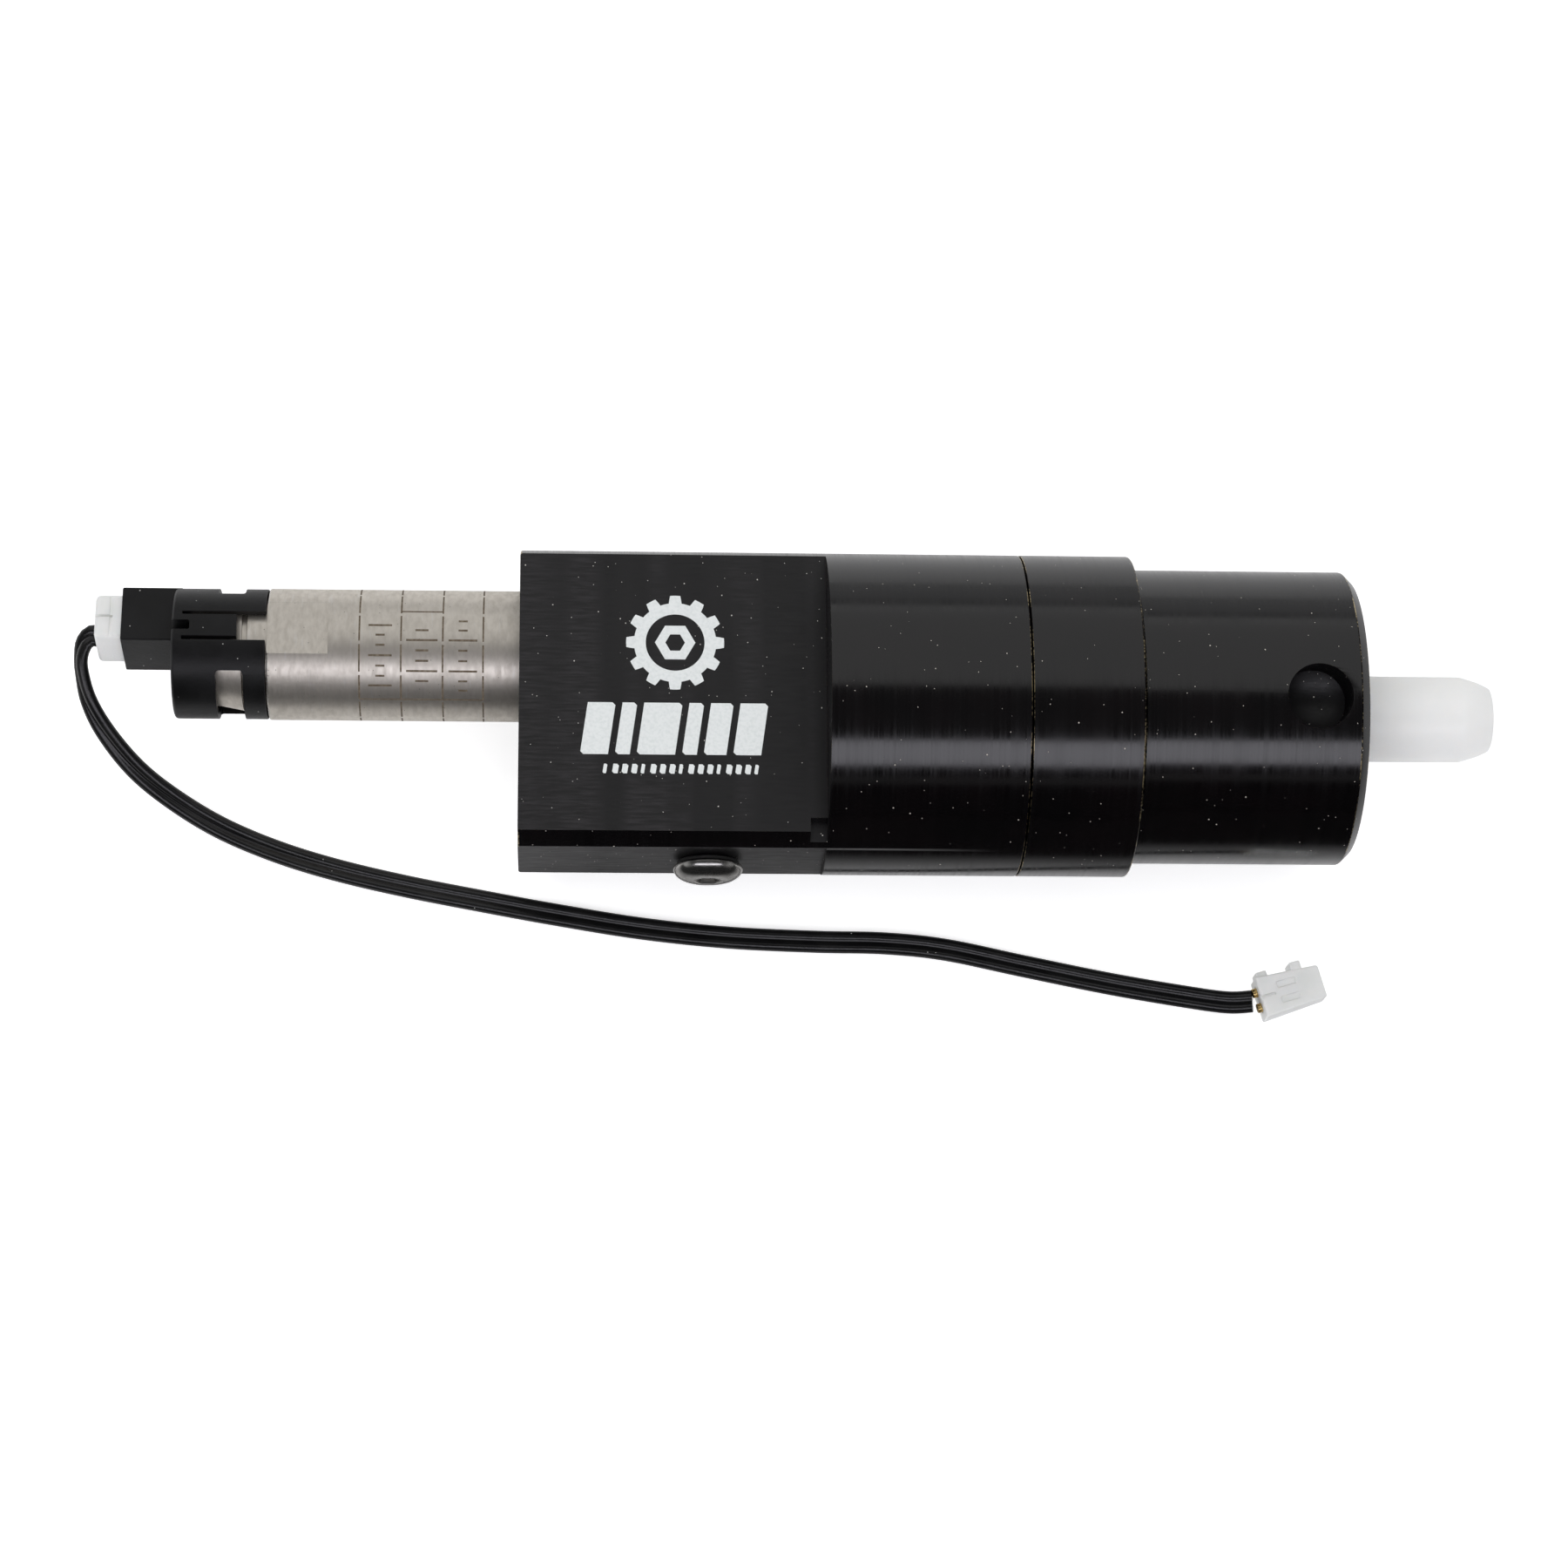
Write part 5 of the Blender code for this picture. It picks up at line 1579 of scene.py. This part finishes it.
@dataclass(frozen=True)
class Cylinder:
    """The cylinder, of which a band shows between two seams."""

    start: float = 38.7
    length: float = 8.5
    radius: float = 12.5
    rear: float = 33.1  # of the spigot in the block
    tip: float = 55.1  # of the spigot in the nose
    groove: float = 35.2
    bore_rear: float = 40.4

    def build(self, seats: Seats) -> None:
        """Builds the cylinder with its spigots, groove and bore.

        Args:
            seats: The device's frames.
        """
        front, rear, groove, cut = self.start + self.length, self.rear, self.groove, Skin.CUT
        profile = [
            Stop(rear, 6.7, 0.1),
            Stop(rear, 10.4, 0.25),
            Stop(groove, 10.4, 0.08, cut),
            Stop(groove, 9.15, 0.08, cut),
            Stop(groove + 1.4, 9.15, 0.08, cut),
            Stop(groove + 1.4, 10.4, 0.08),
            Stop(self.start, 10.4),
            Stop(self.start, self.radius, 0.09),
            Stop(front, self.radius, 0.20),
            Stop(front, 9.6),
            Stop(self.tip, 9.6, 0.2),
            Stop(self.tip, 8.0, 0.1, cut),
            Stop(self.bore_rear, 8.0, skin=cut),
            Stop(self.bore_rear, 6.7, 0.1, cut),
        ]
        blank = Blank("cylinder_body", lathe("cylinder_body", profile, FINE), ANODISED)
        blank.place(seats.device, Body.ACTUATOR, ("cylinder",))


@dataclass(frozen=True)
class Nose:
    """The nose, with its front chamfer and three radial spanner holes."""

    start: float = 47.3
    front: float = 64.5
    radius: float = 11.45
    chamfer: float = 0.7
    holes: int = 3
    hole_radius: float = 2.5
    hole_from_front: float = 3.9
    hole_depth: float = 3.6
    hole_tip: float = 1.4
    hole_angle: float = 7.0  # degrees from +Z towards -Y, of the first hole
    guide: float = 3.45  # radius of the bore that guides the nozzle
    socket: Pair = (9.7, 55.3)  # radius and front of the bore on the cylinder's spigot
    step: Pair = (6.0, 58.3)  # radius and front of the bore round the spring
    seal: Triple = (4.35, 60.7, 1.4)  # radius, start and length of the seal's groove

    def build(self, seats: Seats) -> None:
        """Builds the nose.

        Args:
            seats: The device's frames.
        """
        cut, guide = Skin.CUT, self.guide
        socket, socket_front = self.socket
        step, step_front = self.step
        seal, groove, groove_length = self.seal
        profile = [
            Stop(self.start, socket),
            Stop(self.start, self.radius, 0.16),
            Stop(self.front - self.chamfer, self.radius, 0.08),
            Stop(self.front, self.radius - self.chamfer, 0.08),
            Stop(self.front, guide, 0.15, cut),
            Stop(groove + groove_length, guide, skin=cut),
            Stop(groove + groove_length, seal, skin=cut),
            Stop(groove, seal, skin=cut),
            Stop(groove, guide, skin=cut),
            Stop(step_front, guide, skin=cut),
            Stop(step_front, step, skin=cut),
            Stop(socket_front, step, skin=cut),
            Stop(socket_front, socket, skin=cut),
        ]
        blank = Blank("nose_body", lathe("nose_body", profile, FINE), ANODISED)
        for index in range(self.holes):
            angle = math.radians(self.hole_angle) + index * math.tau / self.holes
            outward = Vector((0, -math.sin(angle), math.cos(angle)))
            start = outward * (self.radius + 1) + Vector((self.front - self.hole_from_front, 0, 0))
            blank.cut(drill(start, -outward, self.hole_radius, self.hole_depth + 1, self.hole_tip))
        blank.break_edges(0.07).place(seats.device, Body.ACTUATOR, ("nose",))


@dataclass(frozen=True)
class Nozzle:
    """The milky acetal nozzle with its piston."""

    radius: float = 3.35
    bore: float = 2.25
    piston: Pair = (41.2, 7.9)  # rear face, radius
    groove: float = 6.75  # radius of the piston's groove
    tip: float = 75.8

    def build(self, seats: Seats) -> None:
        """Builds the nozzle.

        Args:
            seats: The device's frames.
        """
        x, piston = self.piston
        profile = [
            Stop(x, self.bore, 0.1),
            Stop(x, piston, 0.25),
            Stop(x + 1.0, piston, 0.05),
            Stop(x + 1.0, self.groove, 0.08),
            Stop(x + 2.4, self.groove, 0.08),
            Stop(x + 2.4, piston, 0.05),
            Stop(x + 3.4, piston, 0.25),
            Stop(x + 3.4, self.radius, 0.2),
            Stop(self.tip - 2.3, self.radius, 0.25),
            Stop(self.tip - 0.9, self.radius - 0.42, 0.3),
            Stop(self.tip, self.bore + 0.25, 0.12),
            Stop(self.tip, self.bore, 0.08),
        ]
        blank = Blank("nozzle_body", lathe("nozzle_body", profile, ROUND), (ACETAL,))
        blank.place(seats.device, Body.NOZZLE, ("nozzle",))


@dataclass(frozen=True)
class SealingScrew:
    """The domed hex screw in the narrow flat, with its rubber seal."""

    x: float = 14.6
    flat: float = 11.8  # distance of the narrow flat from the axis
    radius: float = 2.7
    height: float = 1.13
    under: float = 0.48  # from the flat to the head
    shank: Pair = (1.42, 2.6)  # radius, length
    rim: float = 0.10  # height of the head's straight edge
    crown: float = 1.15  # radius of the head's level top
    dome_steps: int = 14
    hexagon: float = 1.7  # across its flats
    socket: float = 0.75  # depth
    centre_drill: Pair = (0.62, 0.35)  # radius, depth below the socket
    seal: Triple = (1.55, 2.4, 0.28)  # inner radius, outer radius, thickness
    seal_rear: float = 0.1

    def head(self) -> Blank:
        """Turns the screw, with its domed head, and cuts its socket.

        Returns:
            The screw on its own axis, on the bench.
        """
        shank, length = self.shank
        top, edge = self.under + self.height, self.under + self.rim
        profile = [
            Stop(-length, 0),
            Stop(-length, shank, 0.2),
            Stop(self.under, shank),
            Stop(self.under, self.radius - 0.05, 0.04),
        ]
        for step in range(self.dome_steps + 1):
            angle = step / self.dome_steps * math.pi / 2
            height = edge + (self.height - self.rim) * math.sin(angle)
            profile.append(Stop(height, self.crown + (self.radius - self.crown) * math.cos(angle)))
        profile.append(Stop(top, 0))
        floor, corner, cut = top - self.socket, self.hexagon / math.sqrt(3), Skin.CUT
        sides = [
            Stop(floor, 0, skin=cut),
            Stop(floor, corner, skin=cut),
            Stop(top + 1, corner, skin=cut),
            Stop(top + 1, 0),
        ]
        radius, depth = self.centre_drill
        blank = Blank("screw_body", lathe("screw_body", profile, ROUND), ALL_STEEL)
        blank.cut(lathe("hexagon", sides, 6), drill((floor - depth, 0, 0), (1, 0, 0), radius, 1.0))
        return blank.break_edges(0.04)

    def washer(self) -> Blank:
        """Moulds the seal.

        Returns:
            The seal on the screw's axis, on the bench.
        """
        inner, outer, thick = self.seal
        rear, front = self.seal_rear, self.seal_rear + thick
        profile = [
            Stop(rear, inner, 0.06),
            Stop(rear, outer, 0.1),
            Stop(front, outer, 0.1),
            Stop(front, inner, 0.06),
        ]
        return Blank("screw_seal", lathe("screw_seal", profile, ROUND), (RUBBER,))

    def build(self, seats: Seats) -> None:
        """Builds the screw and the seal.

        Args:
            seats: The device's frames.
        """
        turn = Matrix.Rotation(math.radians(-90), 4, "Z")
        seat = seats.device @ Matrix.Translation(Vector((self.x, -self.flat, 0)) * MM) @ turn
        self.head().place(seat, Body.ACTUATOR, ("plug_screw",))
        self.washer().place(seat, Body.ACTUATOR, ("plug_screw_seal",))


# The solenoid


@dataclass(frozen=True)
class Case:
    """The nickel-plated case, with wrench flats, a snap groove and a neck."""

    radius: float = 5.1
    shoulder: float = -19.4
    rear: float = -25.4
    front: float = 9.0
    neck: float = 4.4
    groove: float = 4.05
    wrench: Pair = (0.5, 4.7)  # depth and length of the wrench flats
    cone: float = -23.2  # where the neck starts to widen
    lip: float = -21.35  # where it ends, at the snap groove
    coil_bore: Pair = (4.2, -18.4)  # radius, rear end
    neck_bore: Pair = (3.4, -24.0)  # radius, rear end
    pin_depth: float = 3.0

    def build(self, seats: Seats) -> None:
        """Builds the case.

        Args:
            seats: The device's frames.
        """
        lip, cut = self.lip, Skin.CUT
        coil_bore, coil_rear = self.coil_bore
        neck_bore, neck_rear = self.neck_bore
        profile = [
            Stop(self.rear, 0),
            Stop(self.rear, self.groove, 0.15),
            Stop(self.cone, self.groove),
            Stop(lip, self.neck, 0.05),
            Stop(lip, self.groove, 0.05),
            Stop(lip + 0.4, self.groove, 0.05),
            Stop(lip + 0.4, self.neck, 0.05),
            Stop(self.shoulder, self.neck),
            Stop(self.shoulder, self.radius, 0.16),
            Stop(self.front, self.radius, 0.1),
            Stop(self.front, coil_bore, 0.1, cut),
            Stop(coil_rear, coil_bore, skin=cut),
            Stop(coil_rear, neck_bore, skin=cut),
            Stop(neck_rear, neck_bore, skin=cut),
            Stop(neck_rear, 0),
        ]
        blank = Blank("case_body", lathe("case_body", profile, ROUND), PLATED)
        depth, length = self.wrench
        level, start, end = self.radius - depth, self.shoulder - 0.1, self.shoulder + length
        blank.cut(
            block((start, -FAR, level), (end, FAR, FAR)),
            block((start, -FAR, -FAR), (end, FAR, -level)),
            *HEADER.drills(self.rear - 1, self.pin_depth),
        )
        blank.break_edges(0.045).place(seats.solenoid, Body.ACTUATOR, ("solenoid_can",))


@dataclass(frozen=True)
class CaseMarks:
    """Etched rings and a graduated tick scale on the case, in place of a maker's data."""

    radius: float = 5.1
    rise: float = 0.006  # how far a mark stands above the surface
    rings: tuple[float, ...] = (-12.3, -9.1, -5.9, -2.8)
    ring_width: float = 0.13
    dash: float = 24.0  # degrees
    dash_gap: float = 3.0  # degrees
    columns: tuple[tuple[float, tuple[float, ...]], ...] = (  # place, and half the length of each tick
        (-10.7, (0.9, 0.35, 0.35, 0.9, 0.35, 0.35, 0.9)),
        (-7.5, (0.5, 1.2, 0.5, 0.5, 1.2, 0.5)),
        (-4.35, (0.35, 0.35, 1.1, 0.35, 0.35, 1.1, 0.35, 0.35)),
    )
    scale_turn: float = -22.0  # degrees from +Z towards +Y, of the scales' middles
    tick_pitch: float = 9.0  # degrees
    tick_half: float = 0.9  # degrees
    lines: tuple[Triple, ...] = ((-9.1, -5.9, 15.0), (-12.3, -2.8, -68.0))  # start, end, angle
    line_half: float = 0.7  # degrees
    sweep: float = 176.0  # degrees to either side of +Z that the rings reach
    sunk: float = 0.01  # how far a mark reaches below the surface

    def patch(self, shape: bmesh.types.BMesh, along: Pair, around: Pair) -> None:
        """Etches a thin curved patch.

        Args:
            shape: The marks.
            along: Where it starts and ends along the axis.
            around: The two angles between which it lies, in degrees.
        """
        first, last = around
        count = max(1, round(abs(last - first) / 4))
        pitch = (last - first) / count
        angles = [math.radians(first + pitch * index) for index in range(count + 1)]
        low_a, low_b, top_a, top_b = (
            [shape.verts.new((x, radius * math.sin(a), radius * math.cos(a))) for a in angles]
            for radius in (self.radius - self.sunk, self.radius + self.rise)
            for x in along
        )
        for index in range(count):
            for one, other in ((low_a, low_b), (top_a, top_b), (low_a, top_a), (low_b, top_b)):
                shape.faces.new((one[index], one[index + 1], other[index + 1], other[index]))
        for end in (0, count):
            shape.faces.new((low_a[end], low_b[end], top_b[end], top_a[end]))

    def build(self, seats: Seats) -> None:
        """Builds all the marks as one piece.

        Args:
            seats: The device's frames.
        """
        shape = bmesh.new()
        half = self.ring_width / 2
        for x in self.rings:
            angle = -self.sweep
            while angle < self.sweep:
                self.patch(shape, (x - half, x + half), (angle, angle + self.dash))
                angle += self.dash + self.dash_gap
        for x, lengths in self.columns:
            for index, length in enumerate(lengths):
                middle = self.scale_turn + (index - len(lengths) / 2) * self.tick_pitch
                around = (middle - self.tick_half, middle + self.tick_half)
                self.patch(shape, (x - length, x + length), around)
        for start, end, angle in self.lines:
            self.patch(shape, (start, end), (angle - self.line_half, angle + self.line_half))
        blank = Blank("case_marks", mesh_from("case_marks", shape), (BROWN_ETCH,))
        blank.place(seats.solenoid, Body.ACTUATOR)


@dataclass(frozen=True)
class EndCap:
    """The black snap-on cap with its tongue, windows and header shroud."""

    radius: float = 5.05
    rear: float = -26.7
    front: float = -19.5
    inner: float = 4.5
    wall: float = 0.3
    floor: float = 0.5
    tongue: Pair = (1.85, 2.2)  # width, and how far its tip stops short of the cap's front
    slot: Pair = (0.3, 6.4)  # width and length of the slots beside the tongue
    root: Triple = (1.4, 0.8, 3.05)  # length, width and lowest place of the hole at the tongue's root
    window: Triple = (3.8, 2.1, 3.8)  # distance from the front, length and half height
    slot_low: float = 2.5  # lowest place of the slots, and nearest place of the windows
    pin_depth: float = 3.2

    def shroud(self) -> bpy.types.Mesh:
        """Moulds the header's walls, before their cavity is cut.

        Returns:
            The mesh.
        """
        low = (HEADER.rear, HEADER.across[0], HEADER.high[0])
        high = (self.rear + 0.6, HEADER.across[1], HEADER.high[1])
        return block(low, high, 0.12, steps=2)

    def cutters(self) -> list[bpy.types.Mesh]:
        """Makes cutters for the cavity, the slots, the notch, the root hole, the windows and the pins.

        Returns:
            The cutters.
        """
        half, level, front, wall = self.tongue[0] / 2, self.slot_low, self.front, self.wall
        width, length = self.slot
        low = (HEADER.rear - 1, HEADER.across[0] + wall, HEADER.high[0] + wall)
        high = (self.rear - self.floor, HEADER.across[1] - wall, HEADER.high[1] - wall)
        tools = [block(low, high, 0.08)]
        for side in (1, -1):
            near, off = sorted((side * half, side * (half + width)))
            tools.append(block((front - length, near, level), (front + 1, off, FAR), 0.05))
        tip = front - self.tongue[1]
        tools.append(block((tip, -half - width, level), (front + 1, half + width, FAR), 0.05))
        length, width, above = self.root
        tools.append(block((self.rear - 1, -width / 2, above), (self.rear + length, width / 2, FAR), 0.08))
        start, length, reach = self.window
        for side in (1, -1):
            near, off = sorted((side * level, side * FAR))
            low, high = (front - start, near, -reach), (front - start + length, off, reach)
            tools.append(block(low, high, 0.22, steps=3))
        return tools + HEADER.drills(self.rear - 1, self.pin_depth)

    def build(self, seats: Seats) -> None:
        """Builds the cap.

        Args:
            seats: The device's frames.
        """
        cavity, cut = self.rear + 1.2, Skin.CUT
        profile = [
            Stop(self.rear, 0, skin=cut),
            Stop(self.rear, self.radius, 0.3),
            Stop(self.front, self.radius, 0.1),
            Stop(self.front, self.inner, 0.05, cut),
            Stop(cavity, self.inner, 0.2, cut),
            Stop(cavity, 0),
        ]
        blank = Blank("cap_body", lathe("cap_body", profile, ROUND), CAP_BLACK).join(self.shroud())
        for tool in self.cutters():
            blank.cut(tool)
        blank.break_edges(0.035).place(seats.solenoid, Body.ACTUATOR, ("end_cap",))


@dataclass(frozen=True)
class Coil:
    """A wire helix about X with closed, ground ends."""

    name: str
    node: str
    joint: str
    body: Body
    ends: Pair  # places along the axis of its two seats
    radius: float
    wire: float  # radius
    turns: float
    keep: float  # share of its length that is left when it is squashed
    anchor_end: int  # which of its ends stays still
    sides: int = 14
    per_turn: int = 40
    closing: float = 0.06  # how much closer the turns lie towards the ends

    def build(self, seat: Matrix) -> None:
        """Builds the spring.

        Args:
            seat: The frame on the spring's own axis.
        """
        first, last = self.ends[0] + 0.1 + self.wire, self.ends[1] - 0.1 - self.wire
        count = round(self.turns * self.per_turn)
        facets = [math.tau * side / self.sides for side in range(self.sides)]
        shape = bmesh.new()
        rings = []
        for step in range(count + 1):
            share = step / count
            eased = share - self.closing * math.sin(math.tau * share)
            angle = share * self.turns * math.tau
            out = Vector((0, math.cos(angle), math.sin(angle)))
            centre = out * self.radius + Vector((first + (last - first) * eased, 0, 0))
            rings.append([
                shape.verts.new(centre + (out * math.cos(a) + Vector((1, 0, 0)) * math.sin(a)) * self.wire)
                for a in facets
            ])
        for ring, following in zip(rings, rings[1:]):
            for side in range(self.sides):
                turn = (side + 1) % self.sides
                shape.faces.new((ring[side], ring[turn], following[turn], following[side]))
        shape.faces.new(rings[0])
        shape.faces.new(rings[-1])
        blank = Blank(self.name, mesh_from(self.name, shape), (SPRING_STEEL,))
        spring = blank.place(seat, self.body, (self.node,), SMOOTH_WIRE)
        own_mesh(spring)


@dataclass(frozen=True)
class Springs:
    """The nozzle's return spring and the armature's spring."""

    of_nozzle: Coil = Coil(
        name="nozzle_spring",
        node="return_spring",
        joint="nozzle_slide",
        body=Body.ACTUATOR,
        ends=(44.6, 58.3),
        radius=4.6,
        wire=0.32,
        turns=5.5,
        keep=0.405,
        anchor_end=1,
    )
    of_armature: Coil = Coil(
        name="plunger_spring",
        node="armature_spring",
        joint="armature_slide",
        body=Body.ACTUATOR,
        ends=(-6.2, -0.7),
        radius=0.8,
        wire=0.12,
        turns=6.0,
        keep=0.93,
        anchor_end=0,
    )

    def build(self, seats: Seats) -> None:
        """Builds both springs."""
        self.of_nozzle.build(seats.device)
        self.of_armature.build(seats.device @ Matrix.Translation(seats.offset * MM))


@dataclass(frozen=True)
class Internals:
    """Pieces that keep their own shape and take a finish."""

    finishes: tuple[tuple[Finish, tuple[str, ...]], ...] = (
        (STAINLESS, ("valve_stem", "solenoid_core", "armature", "header_pin_1", "header_pin_2")),
        (RUBBER, ("piston_o_ring", "stem_o_ring", "cylinder_o_ring", "rod_o_ring")),
        (RUBBER, ("valve_o_ring_rear", "valve_o_ring_front", "armature_seal")),
        (RUBBER, ("front_bumper", "rear_bumper")),
        (PEEK, ("valve_base",)),
        (NYLON, ("solenoid_bobbin",)),
        (COPPER, ("solenoid_coil",)),
    )

    def build(self) -> None:
        """Dresses the nodes."""
        for finish, nodes in self.finishes:
            dress(finish, *nodes)


@dataclass
class Actuator:
    """The whole device."""

    seats: Seats = field(default_factory=Seats)
    parts: tuple[Any, ...] = (  # built in this order, after the lead
        ValveBlock(),
        FlatPrint(),
        Cylinder(),
        Nose(),
        Nozzle(),
        SealingScrew(),
        Case(),
        CaseMarks(),
        EndCap(),
        Springs(),
    )

    def build(self) -> None:
        """Builds the studio, the lead and every sub-assembly in order."""
        Studio().build(self.seats)
        lead = Lead(self.seats)
        pair = lead.build()
        ends = Plug().build(self.seats) + FarConnector().build(self.seats)
        for part in self.parts:
            part.build(self.seats)
        Internals().build()


def main() -> None:
    """Builds the device and its studio."""
    logging.basicConfig(level=logging.INFO, format="%(message)s")
    Actuator().build()


if __name__ == "__main__":
    main()
